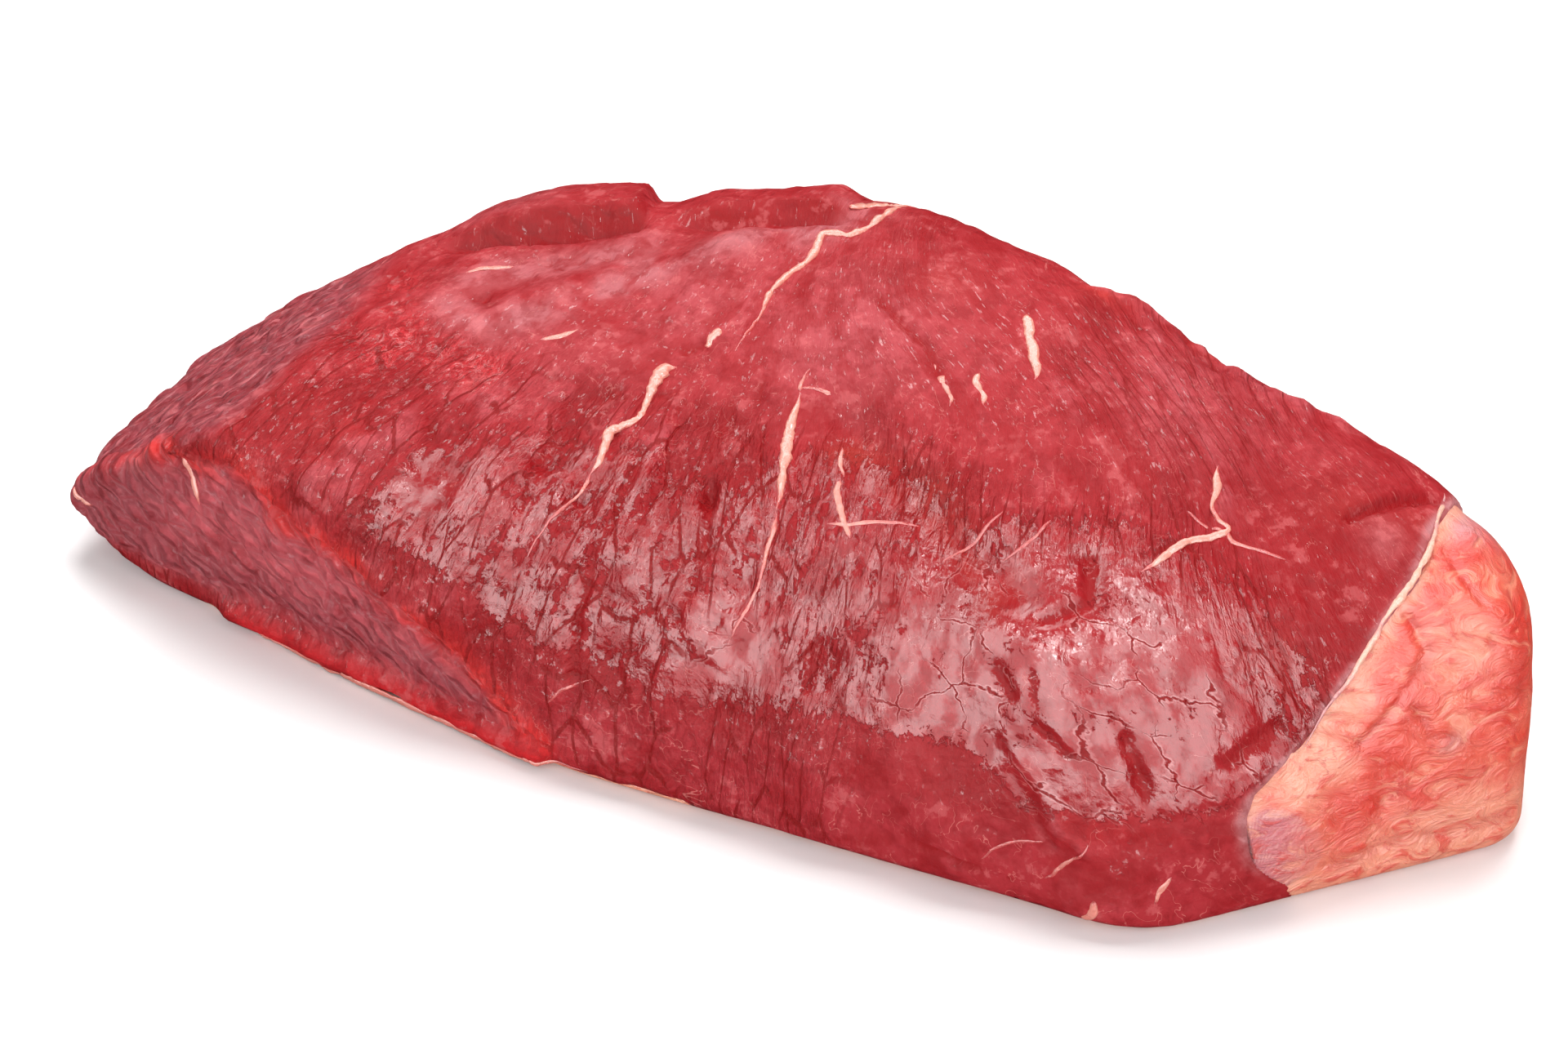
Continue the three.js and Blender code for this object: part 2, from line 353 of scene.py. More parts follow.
def fat_side(p):
    """Above 0 where fat covers the meat: past a line at the right end, and below a wavy line elsewhere."""
    x, y, z = p[..., 0], p[..., 1], p[..., 2]
    edge = np.interp(z, FAT_EDGE_Z, FAT_EDGE_X)
    line = edge + (FAT_END_X - edge) * ease(y, -4, 12) - 1.1 * np.maximum(y - 42, 0)
    past = x - line + 0.7 * cloud(p, 9, 5)
    behind = ease(y, -5, 25) * ease(x, -172, -140)
    rise = 17 + 26 * bell(x + 112, 26) + 34 * ease(x, 40, 130) + 3 * np.sin(x / 9) + 2 * np.sin(x / 4.1 + 1)
    foot = -2.0 + 4.0 * bell(x + 80, 52) + 3.2 * bell(x + 1, 9) + 2.5 * bell(x - 106, 5) - 14 * ease(-x, 142, 156)
    edge = foot * (1 - behind) + rise * behind
    inward = body_side(p) * (1 - ease(z, 4, 14)) * ease(x, -150, -120)
    return np.maximum(past, edge + 0.9 * cloud(p, 8, 9) - z - inward)


# Upper and lower edge of the smooth film on the front shoulder, along the length.
FILM_X = (-92, -79, -58, -34, -3, 9, 30, 55, 73, 90, 112, 127, 140)
FILM_BACK = (-68, -62, -48, -43, -42, -27, -24, -33, -27, -20, -22, -28, -32)
FILM_FOOT = (46, 46, 40, 31, 29, 29, 34, 37, 36, 28, 30, 28, 38)
# Torn patches, the grey haze of dried film, painted partly as sheen, and the browned streak: places, the patches with
# their half widths.
TORN = ((-123, -33, 62, 6), (-115, -35, 64, 6), (-105, -39, 65, 7), (-119, -9, 62, 7), (-103, -30, 66, 8),
        (-92, -34, 67, 7), (-85, -35, 67, 6), (-78, -36, 67, 6), (-112, -22, 64, 5))
HAZE_PATH = ((-100, -20, 67), (-84, -24, 68), (-64, 1, 73), (-47, 22, 76), (-24, 41, 79), (-18, 49, 79))
HAZE_PATCH = ((-98, -4, 67), (-84, 6, 69), (-62, 16, 74))
OLIVE_PATH = ((16, -29, 72), (39, -32, 71), (48, -38, 69), (60, -44, 67), (68, -50, 63))
# Upper edge of the cut face, from the tip along the length.
RIM_TOP = ((-182, -72, 24), (-168, -74, 34), (-150, -76, 45), (-137, -78, 46), (-124, -79, 51), (-110, -81, 43),
           (-87, -84, 37), (-59, -87, 25), (-40, -89, 12), (-30, -90, 6))


def ripple_share(p):
    """1 on the fine ripples behind the crest at the right, 0 elsewhere."""
    x, y = p[..., 0], p[..., 1]
    return ease(x, 40, 58) * ease(y + 0.35 * x, 14, 34) * ease(-x, -118, -100)


def zones(p):
    """Parts of the surface that look different, as masks from 0 to 1."""
    x, y, z = p[..., 0], p[..., 1], p[..., 2]
    zone = {}
    rim = np.array(RIM_TOP).T
    below_rim = np.interp(x, rim[0], rim[2]) - z + 1.6 * cloud(p, 6, 67)
    face = ease(outside(CUT_FACE, p), -9.0, -5.0) * ease(below_rim, -1.0, 1.0)
    zone["cut"] = face * (1 - ease(x, -45, -25)) * ease(z, 5, 11)
    zone["flank"] = ease(outside(FLANK, p), -4.0, -1.0) * (1 - zone["cut"])
    zone["skin"] = (1 - zone["cut"]) * (1 - zone["flank"])
    wobble = 5 * cloud(p, 16, 61)
    back_edge = np.interp(x, FILM_X, FILM_BACK)
    above = ease(back_edge - y + wobble, -5, 7)
    below = ease(z - np.interp(x, FILM_X, FILM_FOOT) + 0.6 * wobble, -5, 5)
    zone["film"] = zone["skin"] * above * below * ease(x, -90, -80)
    crinkle = 0.2 + 0.8 * ease(-y + 0.5 * wobble, 20, 40) * (1 - ease(x + wobble, 25, 60))
    crinkle = crinkle + 0.7 * bell(y - back_edge + 2 + wobble, 9) * ease(x, 0, 40) + 0.4 * ripple_share(p)
    zone["crinkle"] = np.clip(crinkle - near_spots(p, ((-75, -70, 57, 9), (12, -76, 44, 12))), 0, 1)
    zone["haze"] = zone["skin"] * np.maximum(near_path(p, HAZE_PATH, 6.5), 0.8 * near_path(p, HAZE_PATCH, 8))
    zone["torn"] = zone["skin"] * near_spots(wandered(p, 9, 2.5, 63), TORN)
    zone["olive"] = near_path(wandered(p, 12, 3, 66), OLIVE_PATH, 6)
    zone["low"] = zone["skin"] * (1 - ease(z + 0.5 * wobble, 20, 28)) * ease(-y, 55, 70) * ease(x, -40, -20)
    zone["rim"] = near_path(wandered(p, 8, 2, 69), RIM_TOP, 5) * zone["skin"]
    zone["foot"] = bell(from_line(p, *FOOT_ROLL[:2])[0], 4.8) * ease(x, -132, -124)
    # Front faces of the layers, whose darker red is partly painted shade, and the sunk strips before them, which get
    # painted shade.
    zone["face"], zone["recess"] = 0 * x, 0 * x
    for behind, share, _, _ in layer_parts(p):
        zone["face"] = np.maximum(zone["face"], share * bell(behind, 2.2))
        zone["recess"] = np.maximum(zone["recess"], share * bell(behind + CREASE_WIDTH, 1.8))
    return zone


def grid_rays(along, around):
    """Rays from the heart by two angles: one from tip to fat end, the other round, up the back first."""
    along, around = np.meshgrid(along, around, indexing="ij")
    ray = np.stack([-np.cos(along), np.sin(along) * np.cos(around), np.sin(along) * np.sin(around)], -1)
    return ray * RAY_STRETCH


# Directions across and along the bundles of the cut face and of the sloping end.
CUT_GRAIN = ((0.56, 0, 0.83), (0.83, 0, -0.56))
FLANK_GRAIN = ((0.8, -0.59, 0), (0.6, 0.8, 0.5))
# How far the fibres turn from straight across, along the length.
TURN_X = (-110, -60, -30, -10, 10, 40, 80, 110, 150)
TURN = (0.3, 0.18, 0.05, -0.1, -0.24, -0.2, -0.25, -0.45, -0.6)


def grain_of(p):
    """Place in mm across and along the fibres: x leaned by the way down from the crest, and that way."""
    x, down = p[..., 0], 55 - p[..., 1] - p[..., 2]
    fan = np.interp(x, TURN_X, TURN) * 70 * np.tanh(down / 70)
    rise = np.clip(-down, 0, 80)
    back = np.where(rise < 35, rise * rise / 70, rise - 17.5) * ease(x, -45, 15)
    return np.stack([x + fan + back, down, 0 * x], -1)


def skin_relief(p, zone):
    """Finer forms of the lean: creases along the grain, plates of film, pits, torn shreds, fibre bundles."""
    drift = 1.8 * np.stack([cloud(p, 9, 71, 2), cloud(p, 9, 74, 2), 0 * p[..., 0]], -1)
    warp = grain_of(p) + drift
    x, y, z = p[..., 0], p[..., 1], p[..., 2]
    left = ease(-x, -25, 5) * ease(-y, 22, 42) * ease(x, -112, -95)
    skin, film = zone["skin"], zone["film"]
    fibrous = 2.0 * skin * np.clip(0.28 + left + 0.9 * ripple_share(p), 0, 1) * ease(z, 12, 24)
    wave = cloud(warp / np.array((1, 5, 1)), 6.5, 81, 2)
    folded = groove(wave + 0.1, 0.13) * ease(cloud(p, 24, 85, 2), -0.4, 0.3)
    height = fibrous * (0.7 * wave - 0.75 * folded)
    near, next_, value = cells(warp / np.array((1, 3.2, 1)), 7.5, 91)
    height = height - 0.8 * groove(next_ - near, 0.2) * left * skin * ease(cloud(p, 20, 95, 2), -0.4, 0.2)
    height = height + 0.5 * (value - 0.5) * left * skin
    near, next_, _ = cells(warp / np.array((1, 1.5, 1)), 13, 97)
    height = height - 0.25 * groove(next_ - near, 0.13) * film * (1 - left) * ease(cloud(p, 24, 99, 2), -0.2, 0.2)
    pitted = near_spots(p, ((-55, 0, 74, 17), (-80, 8, 70, 16), (-100, -25, 66, 15)))
    height = height - 1.4 * groove(cells(p, 4.6, 101)[0], 0.34) * pitted * skin
    shred = np.abs(cloud(p * np.array((1.0, 0.6, 1.0)), 4.5, 111, 2))
    height = height + zone["torn"] * (3.4 * shred - 1.8)
    bundle = (p @ np.array((*CUT_GRAIN, (0, 0, 0))).T + drift) / np.array((1, 2.0, 1))
    near, next_, value = cells(bundle, 5.0, 125)
    lumps = 2.2 * np.minimum(next_ - near, 0.5) - 0.3 + 0.7 * (value - 0.5) + 1.5 * cloud(bundle, 11, 127)
    scallops = np.sin((x + 0.3 * z) / 3.3 + 2 * cloud(p, 20, 133)) * ease(-x, 100, 120) * ease(z, 20, 45)
    height = height + zone["cut"] * (lumps + 0.9 * scallops)
    bundle = (p @ np.array((*FLANK_GRAIN, (0, 0, 0))).T + drift) / np.array((1, 3.5, 1))
    streak = cloud(bundle, 5.5, 131, 2)
    height = height + zone["flank"] * (1.6 * streak - 0.8 * groove(streak, 0.14))
    height = height + zone["rim"] * (1.3 * cloud(p, 6, 137, 2) + 0.5)
    height = height + 0.5 * cloud(p, 12, 141) + 0.25 * cloud(p, 4.2, 145, 2)
    return height * ease(p[..., 2], 0.5, 4)


# How deep the lean lies under the fat.
RECESS = 3.4


def on_meat(p, n, height):
    """The lean's surface: the form moved along its normal by the relief, and sunk under the fat."""
    covered = ease(fat_side(p), -0.8, 2.8)
    moved = p + n * (height * (1 - covered) - RECESS * covered)[..., None]
    moved[..., 2] = np.maximum(moved[..., 2], 0.15)
    return moved


def paint(red, green, blue):
    """A colour's 8-bit values as linear light."""
    c = np.array((red, green, blue)) / 255
    return np.where(c <= 0.04045, c / 12.92, ((c + 0.055) / 1.055) ** 2.4)


def rings_mesh(name, skins):
    """A mesh of closed skins: rings of points joined by quads, with a fan to a point at either end."""
    verts, faces, base = [], [], 0
    for first, rings, last in skins:
        count, around = rings.shape[:2]
        verts.append(np.concatenate([first[None], rings.reshape(-1, 3), last[None]]) * MM)
        row = base + 1 + np.arange(count - 1)[:, None] * around
        a, b = np.arange(around)[None], (np.arange(around)[None] + 1) % around
        quads = np.stack([row + a, row + b, row + around + b, row + around + a], -1).reshape(-1, 4)
        end = base + count * around + 1
        tail = end - around
        faces += quads.tolist()
        faces += [(base, base + 1 + (j + 1) % around, base + 1 + j) for j in range(around)]
        faces += [(end, tail + j, tail + (j + 1) % around) for j in range(around)]
        base = end + 1
    mesh = bpy.data.meshes.new(name)
    mesh.from_pydata(np.concatenate(verts).tolist(), [], faces)
    mesh.update()
    mesh.shade_smooth()
    piece = bpy.data.objects.new(name, mesh)
    bpy.context.scene.collection.objects.link(piece)
    return piece


def put(piece, name, kind, values):
    """Stores a value for each point of a mesh as an attribute that its material reads."""
    attribute = piece.data.attributes.new(name, kind, "POINT")
    field = {"FLOAT": "value", "FLOAT_VECTOR": "vector", "FLOAT_COLOR": "color"}[kind]
    if kind == "FLOAT_COLOR":
        values = np.concatenate([values, np.ones((len(values), 1))], -1)
    attribute.data.foreach_set(field, np.ascontiguousarray(values, np.float32).ravel())


even = -math.pi / 2 + 2 * math.pi * np.arange(STEPS_ROUND) / STEPS_ROUND
around = even - TOP_CROWDING * np.sin(even - CROWD_BEARING)
along = math.pi * np.arange(STEPS_ALONG + 1) / STEPS_ALONG
along[0], along[-1] = 1e-4, math.pi - 1e-4
plain = on_form(grid_rays(along, around))
normal = normals(plain)
zone = zones(plain)
fine = skin_relief(plain, zone)
notches, slits = crease_relief(plain)
meat = on_meat(plain, normal, broad_relief(plain) + fine + notches)
lean = rings_mesh("lean_meat", [(meat[0].mean(0), meat[1:-1], meat[-1].mean(0))])


def spread(values):
    """A grid's values in the order of the mesh's points, with one mean value for each end."""
    values = values.reshape(STEPS_ALONG + 1, STEPS_ROUND, -1)
    return np.concatenate([values[:1].mean(1), values[1:-1].reshape(-1, values.shape[-1]), values[-1:].mean(1)])


def blend(colour, other, share):
    """Mixes a colour over the surface towards another by a share from 0 to 1."""
    share = np.clip(share, 0, 1)[..., None]
    return colour * (1 - share) + other * share


def layered(colour, layers):
    """Mixes a colour over the surface towards each of several others in turn, by its share."""
    for other, share in layers:
        colour = blend(colour, other, share)
    return colour


# Colours of the lean, by depth of red and by the part that has them.
LEAN = paint(164, 38, 44)
DEEP = paint(136, 18, 23)
DARK = paint(156, 24, 30)
ROSE = paint(194, 90, 97)
MAUVE = paint(194, 84, 92)
DIM_MAUVE = paint(152, 64, 72)
FLANK_MAUVE = paint(152, 66, 74)
GREY_FILM_AND_SHEEN = paint(188, 106, 111)
WARM = paint(212, 60, 48)
BRIGHT = paint(198, 44, 50)
OLIVE = paint(148, 42, 24)
SILVER = paint(198, 142, 144)
RED = paint(178, 20, 22)
FOOT_RED = paint(166, 42, 50)
# Front faces of the back layers: their own deeper red, partly painted shade.
FLAP_SHADED_RED = paint(146, 12, 16)
ROLL_RED = paint(200, 32, 38)
CRIMSON = paint(142, 10, 16)
RIM_RED = paint(214, 46, 42)

# Broad differences of colour: where, half width, colour and share.
STAINS = (
    ((2, 4, 80), 26, ROSE, 0.7),
    ((-60, -35, 69), 20, ROSE, 0.35),
    ((85, 20, 78), 30, ROSE, 0.5),
    ((-40, 5, 75), 20, ROSE, 0.45),
    ((-95, -15, 67), 24, ROSE, 0.3),
    ((121, -2, 73), 20, LEAN, 0.6),
    ((60, 0, 80), 16, LEAN, 0.5),
    ((136, -9, 68), 16, DARK, 0.75),
    ((112, -22, 67), 12, DARK, 0.5),
    ((60, -12, 77), 12, DARK, 0.35),
    ((0, -38, 68), 14, DARK, 0.35),
    ((124, -3, 73), 20, CRIMSON, 0.6),
    ((83, -7, 77), 15, CRIMSON, 0.4),
    ((55, -42, 68), 13, CRIMSON, 0.7),
    ((123, -69, 15), 13, CRIMSON, 0.5),
    ((-16, -88, 20), 13, CRIMSON, 0.4),
    ((-46, -58, 60), 10, CRIMSON, 0.4),
    ((13, 30, 82), 9, OLIVE, 0.3),
    ((129, 6, 74), 8, OLIVE, 0.3),
    ((128, -34, 56), 10, OLIVE, 0.45),
    ((145, 10, 72), 7, OLIVE, 0.3),
    ((105, -77, 18), 14, RED, 0.8),
    ((52, 49, 77), 9, WARM, 0.6),
    ((76, 48, 72), 6, WARM, 0.5),
    ((107, -78, 4), 4, WARM, 1.0),
    ((140, 1, 72), 6, SILVER, 0.35),
    ((-96, -42, 65), 16, DEEP, 0.2),
    ((-105, -66, 61), 14, WARM, 0.25),
    ((-110, 30, 55), 14, GREY_FILM_AND_SHEEN, 0.6),
)

tint = np.broadcast_to(LEAN, plain.shape).copy()
mottle = cloud(plain, 15, 205)
for middle, width, colour, share in STAINS:
    near = bell(np.linalg.norm(plain - middle, axis=-1), width)
    tint = blend(tint, colour, share * near * (0.75 + 0.5 * mottle))
# low_shade: painted shade on the cut face near the floor, which is also darker towards its left tip.
relief, low_shade = fine + notches, np.maximum(1 - ease(plain[..., 2], 12, 28), ease(-plain[..., 0], 138, 158))
rim = near_path(wandered(plain, 7, 2.4, 217), RIM_TOP, 4.2) * ease(cloud(plain, 7, 221), -0.8, 0.0)
beside_fat = bell(fat_side(plain) + 0.4, 1.3) * (1 - zone["cut"]) * ease(plain[..., 2], 8, 20)
tint = layered(tint, (
    (DEEP, 0.5 * ease(mottle, 0.05, 0.55) * zone["skin"]),
    # Painted shade in the hollows of the fine relief, and painted light on its crests.
    (DEEP, 0.85 * ease(-relief, 0.1, 0.9) * zone["skin"]),
    (ROSE, 0.5 * ease(relief, 0.2, 0.9) * zone["skin"] * (1 - 0.6 * zone["film"])),
    # The grey haze of dried film: its own paler grey, partly painted sheen.
    (GREY_FILM_AND_SHEEN, 0.85 * zone["haze"] * ease(cloud(plain, 8, 209), -0.5, 0.1)),
    (BRIGHT, zone["torn"]),
    (OLIVE, 0.75 * zone["olive"] * ease(cloud(plain, 9, 213), -0.7, 0.1)),
    (DARK, 0.6 * zone["film"]),
    (FOOT_RED, 0.75 * zone["low"]),
    (FLANK_MAUVE, 0.9 * zone["flank"]),
    (MAUVE, 0.95 * zone["cut"]),
    # The cut face: painted shade near the floor and darker towards the tip, then painted shade in the hollows of its
    # relief, and a darker spot by the tip.
    (DIM_MAUVE, 0.8 * zone["cut"] * low_shade),
    (DIM_MAUVE, 0.35 * ease(-relief, 0.0, 0.9) * zone["cut"]),
    (DIM_MAUVE, 0.7 * near_spots(plain, ((-159, -75, 37, 12),))),
    (RIM_RED, 0.9 * rim),
    # Front faces of the back layers: their own deeper red, partly painted shade; the sunk strips before them: painted
    # shade.
    (FLAP_SHADED_RED, zone["face"]),
    (DEEP, 0.9 * zone["recess"]),
    (ROLL_RED, 0.95 * zone["foot"]),
    (SILVER, 0.8 * beside_fat),
))
put(lean, "tint", "FLOAT_COLOR", spread(tint))
put(lean, "grain", "FLOAT_VECTOR", spread(grain_of(plain)))
# The painted shade of the creases and dimples, kept for the material.
zone["slit"] = slits * zone["skin"]
zone["smooth"] = np.maximum(zone["foot"], zone["face"])
for key in ("film", "crinkle", "torn", "cut", "flank", "low", "smooth", "slit"):
    put(lean, key, "FLOAT", spread(zone[key]))


class Nodes:
    """Short calls for placing and joining nodes in one tree."""

    def __init__(self, tree):
        self.tree = tree

    def add(self, kind, **settings):
        node = self.tree.nodes.new(kind)
        for key, value in settings.items():
            if key in node.inputs.keys():
                self.join(node.inputs[key], value)
            else:
                setattr(node, key, value)
        return node

    def join(self, socket, value):
        if isinstance(value, bpy.types.NodeSocket):
            self.tree.links.new(value, socket)
        else:
            socket.default_value = value

    def math(self, operation, a, b=0.0, c=0.0):
        node = self.add("ShaderNodeMath", operation=operation)
        for socket, value in zip(node.inputs, (a, b, c)):
            self.join(socket, value)
        return node.outputs[0]

    def times(self, *values):
        product = values[0]
        for value in values[1:]:
            product = self.math("MULTIPLY", product, value)
        return product

    def plus(self, *values):
        total = values[0]
        for value in values[1:]:
            total = self.math("ADD", total, value)
        return total

    def range(self, value, low, high, out_low=0.0, out_high=1.0):
        node = self.add("ShaderNodeMapRange", interpolation_type="SMOOTHSTEP")
        for socket, part in zip(node.inputs, (value, low, high, out_low, out_high)):
            self.join(socket, part)
        return node.outputs[0]

    def mix(self, share, a, b):
        node = self.add("ShaderNodeMix", data_type="RGBA")
        self.join(node.inputs[0], share)
        self.join(node.inputs[6], a)
        self.join(node.inputs[7], b)
        return node.outputs[2]

    def layers(self, colour, *layers):
        """A colour mixed in turn towards each 8-bit colour by its share."""
        for share, shade in layers:
            colour = self.mix(share, colour, (*paint(*shade), 1))
        return colour

    def noise(self, place, scale, detail=3.0, roughness=0.55, distortion=0.0):
        node = self.add("ShaderNodeTexNoise", Vector=place, Scale=scale, Detail=detail,
                        Roughness=roughness, Distortion=distortion)
        return node.outputs[0]

    def stretch(self, place, scale):
        node = self.add("ShaderNodeVectorMath", operation="MULTIPLY")
        self.join(node.inputs[0], place)
        self.join(node.inputs[1], scale)
        return node.outputs[0]

    def attribute(self, name, output="Fac"):
        return self.add("ShaderNodeAttribute", attribute_name=name).outputs[output]

    def object_place(self):
        return self.add("ShaderNodeTexCoord").outputs["Object"]


def group(name, inputs, outputs):
    """A shader node group with the named sockets. Returns its tree, its Nodes and both ends."""
    tree = bpy.data.node_groups.new(name, "ShaderNodeTree")
    for label, kind in inputs:
        tree.interface.new_socket(label, in_out="INPUT", socket_type=kind)
    for label, kind in outputs:
        tree.interface.new_socket(label, in_out="OUTPUT", socket_type=kind)
    nodes = Nodes(tree)
    return tree, nodes, nodes.add("NodeGroupInput").outputs, nodes.add("NodeGroupOutput").inputs


def material(name):
    """A new material, its Nodes and its Principled BSDF."""
    made = bpy.data.materials.new(name)
    made.use_nodes = True
    return made, Nodes(made.node_tree), made.node_tree.nodes["Principled BSDF"]


def placed(nodes, tree, **values):
    """Places a node group in a material with its values, and returns its outputs."""
    node = nodes.add("ShaderNodeGroup", node_tree=tree)
    for label, value in values.items():
        nodes.join(node.inputs[label], value)
    return node.outputs


FLOAT, VECTOR = "NodeSocketFloat", "NodeSocketVector"

# Cracks: edges of cells in a plane of millimetres, bent by noise. They open and taper here and there.
cracks_tree, g, given, made = group(
    "cracks", [("Place", VECTOR), *((label, FLOAT) for label in ("Size", "Width", "Bend", "Share", "Seed"))],
    [("Crack", FLOAT), ("Rim", FLOAT), ("Pillow", FLOAT)])
shifted = g.add("ShaderNodeVectorMath", operation="ADD")
g.join(shifted.inputs[0], given["Place"])
g.join(shifted.inputs[1], g.add("ShaderNodeCombineXYZ", X=given["Seed"], Y=given["Seed"], Z=given["Seed"]).outputs[0])
bend = g.add("ShaderNodeTexNoise", Vector=shifted.outputs[0], Scale=g.math("DIVIDE", 1.8, given["Size"]), Detail=4.0)
bent = g.add("ShaderNodeVectorMath", operation="SUBTRACT")
g.join(bent.inputs[0], bend.outputs["Color"])
bent.inputs[1].default_value = (0.5, 0.5, 0.5)
reach = g.add("ShaderNodeVectorMath", operation="SCALE", Scale=g.times(given["Bend"], given["Size"]))
g.join(reach.inputs[0], bent.outputs[0])
moved = g.add("ShaderNodeVectorMath", operation="ADD")
g.join(moved.inputs[0], shifted.outputs[0])
g.join(moved.inputs[1], reach.outputs[0])
edge = g.add("ShaderNodeTexVoronoi", voronoi_dimensions="2D", feature="DISTANCE_TO_EDGE", Vector=moved.outputs[0],
             Scale=g.math("DIVIDE", 1.0, given["Size"]))
patchy = g.noise(shifted.outputs[0], g.math("DIVIDE", 0.9, given["Size"]), 3.0)
opened = g.range(patchy, g.math("SUBTRACT", 0.78, given["Share"]), g.math("SUBTRACT", 0.92, given["Share"]))
wide = g.plus(g.times(given["Width"], opened), 0.0004)
thin = g.math("DIVIDE", edge.outputs["Distance"], wide)
g.join(made["Crack"], g.times(g.range(thin, 1.0, 0.45), opened))
g.join(made["Rim"], g.times(g.range(thin, 2.6, 1.3), g.range(thin, 0.8, 1.2), opened))
g.join(made["Pillow"], g.range(edge.outputs["Distance"], 0.0, 0.38))

# Mottle: uneven depth of colour, coarse and fine together.
mottle_tree, g, given, made = group(
    "mottle", [("Place", VECTOR), ("Coarse", FLOAT), ("Fine", FLOAT)], [("Value", FLOAT)])
coarse = g.noise(given["Place"], given["Coarse"], 3.0, 0.6)
fine = g.noise(given["Place"], given["Fine"], 3.0, 0.65)
g.join(made["Value"], g.plus(g.times(coarse, 0.55), g.times(fine, 0.45)))

lean_material, m, skin = material("wet_lean_beef")
place = m.object_place()
film, crinkle, torn = m.attribute("film"), m.attribute("crinkle"), m.attribute("torn")
cut, flank, low, smooth, slit = (m.attribute(name) for name in ("cut", "flank", "low", "smooth", "slit"))
bare = m.math("SUBTRACT", 1.0, m.math("MAXIMUM", m.math("MAXIMUM", cut, flank), smooth))


def bundle_place(across, along):
    """Place in mm across and along bundles, as the products of the point with the two directions."""
    parts = []
    for direction in (across, along):
        dot = m.add("ShaderNodeVectorMath", operation="DOT_PRODUCT")
        m.join(dot.inputs[0], place)
        dot.inputs[1].default_value = np.array(direction) / MM
        parts.append(dot.outputs["Value"])
    return m.add("ShaderNodeCombineXYZ", X=parts[0], Y=parts[1]).outputs[0]


def choose(share, a, b):
    """One of two places, the second where the share is above a half."""
    node = m.add("ShaderNodeMix", data_type="VECTOR")
    for socket, value in zip((0, 4, 5), (m.math("GREATER_THAN", share, 0.5), a, b)):
        m.join(node.inputs[socket], value)
    return node.outputs[1]


fibres = choose(cut, m.attribute("grain", "Vector"), bundle_place(*CUT_GRAIN))
fibres = choose(flank, fibres, bundle_place(*FLANK_GRAIN))

# Lines on the skin: long creases along the fibres, and plates of the film.
long_cracks = placed(m, cracks_tree, Place=m.stretch(fibres, (1.0, 0.2, 1.0)), Size=5.0, Width=0.06, Bend=0.3,
                     Share=0.40, Seed=3.0)
plates = placed(m, cracks_tree, Place=m.stretch(fibres, (1.0, 0.8, 1.0)), Size=11.0, Width=0.028, Bend=0.8,
                Share=0.34, Seed=57.0)
plated = m.times(film, m.range(crinkle, 0.7, 0.2))
lines = m.math("MAXIMUM", m.times(long_cracks["Crack"], m.range(crinkle, 0.1, 0.9, 0.0, 1.0)),
               m.times(plates["Crack"], plated))
lines = m.times(lines, bare)
rims = m.times(plates["Rim"], plated)
bundles = placed(m, cracks_tree, Place=m.stretch(fibres, (1.0, 0.5, 1.0)), Size=4.4, Width=0.08, Bend=0.10,
                 Share=0.40, Seed=11.0)

# Noise that colour, shape and wetness share: streaks along the fibres, shreds, and broad patches.
streak = m.noise(m.stretch(fibres, (0.42, 0.085, 1.0)), 1.0, 3.0, 0.55, 0.4)
fold = m.math("ABSOLUTE", m.plus(streak, -0.5))
shreds = m.noise(m.stretch(fibres, (0.6, 0.36, 1.0)), 1.0, 4.0, 0.7, 0.8)
patches = m.noise(m.stretch(fibres, (0.085, 0.05, 1.0)), 1.0, 4.0, 0.6, 0.4)

# Colour: the tint of the place, mottled, with fibres, pale flecks, dark lines and pale film edges. Folds, creases,
# cracks, gaps between shreds and seams between bundles are darkened with painted shade.
mottled = placed(m, mottle_tree, Place=place, Coarse=95.0, Fine=300.0)["Value"]
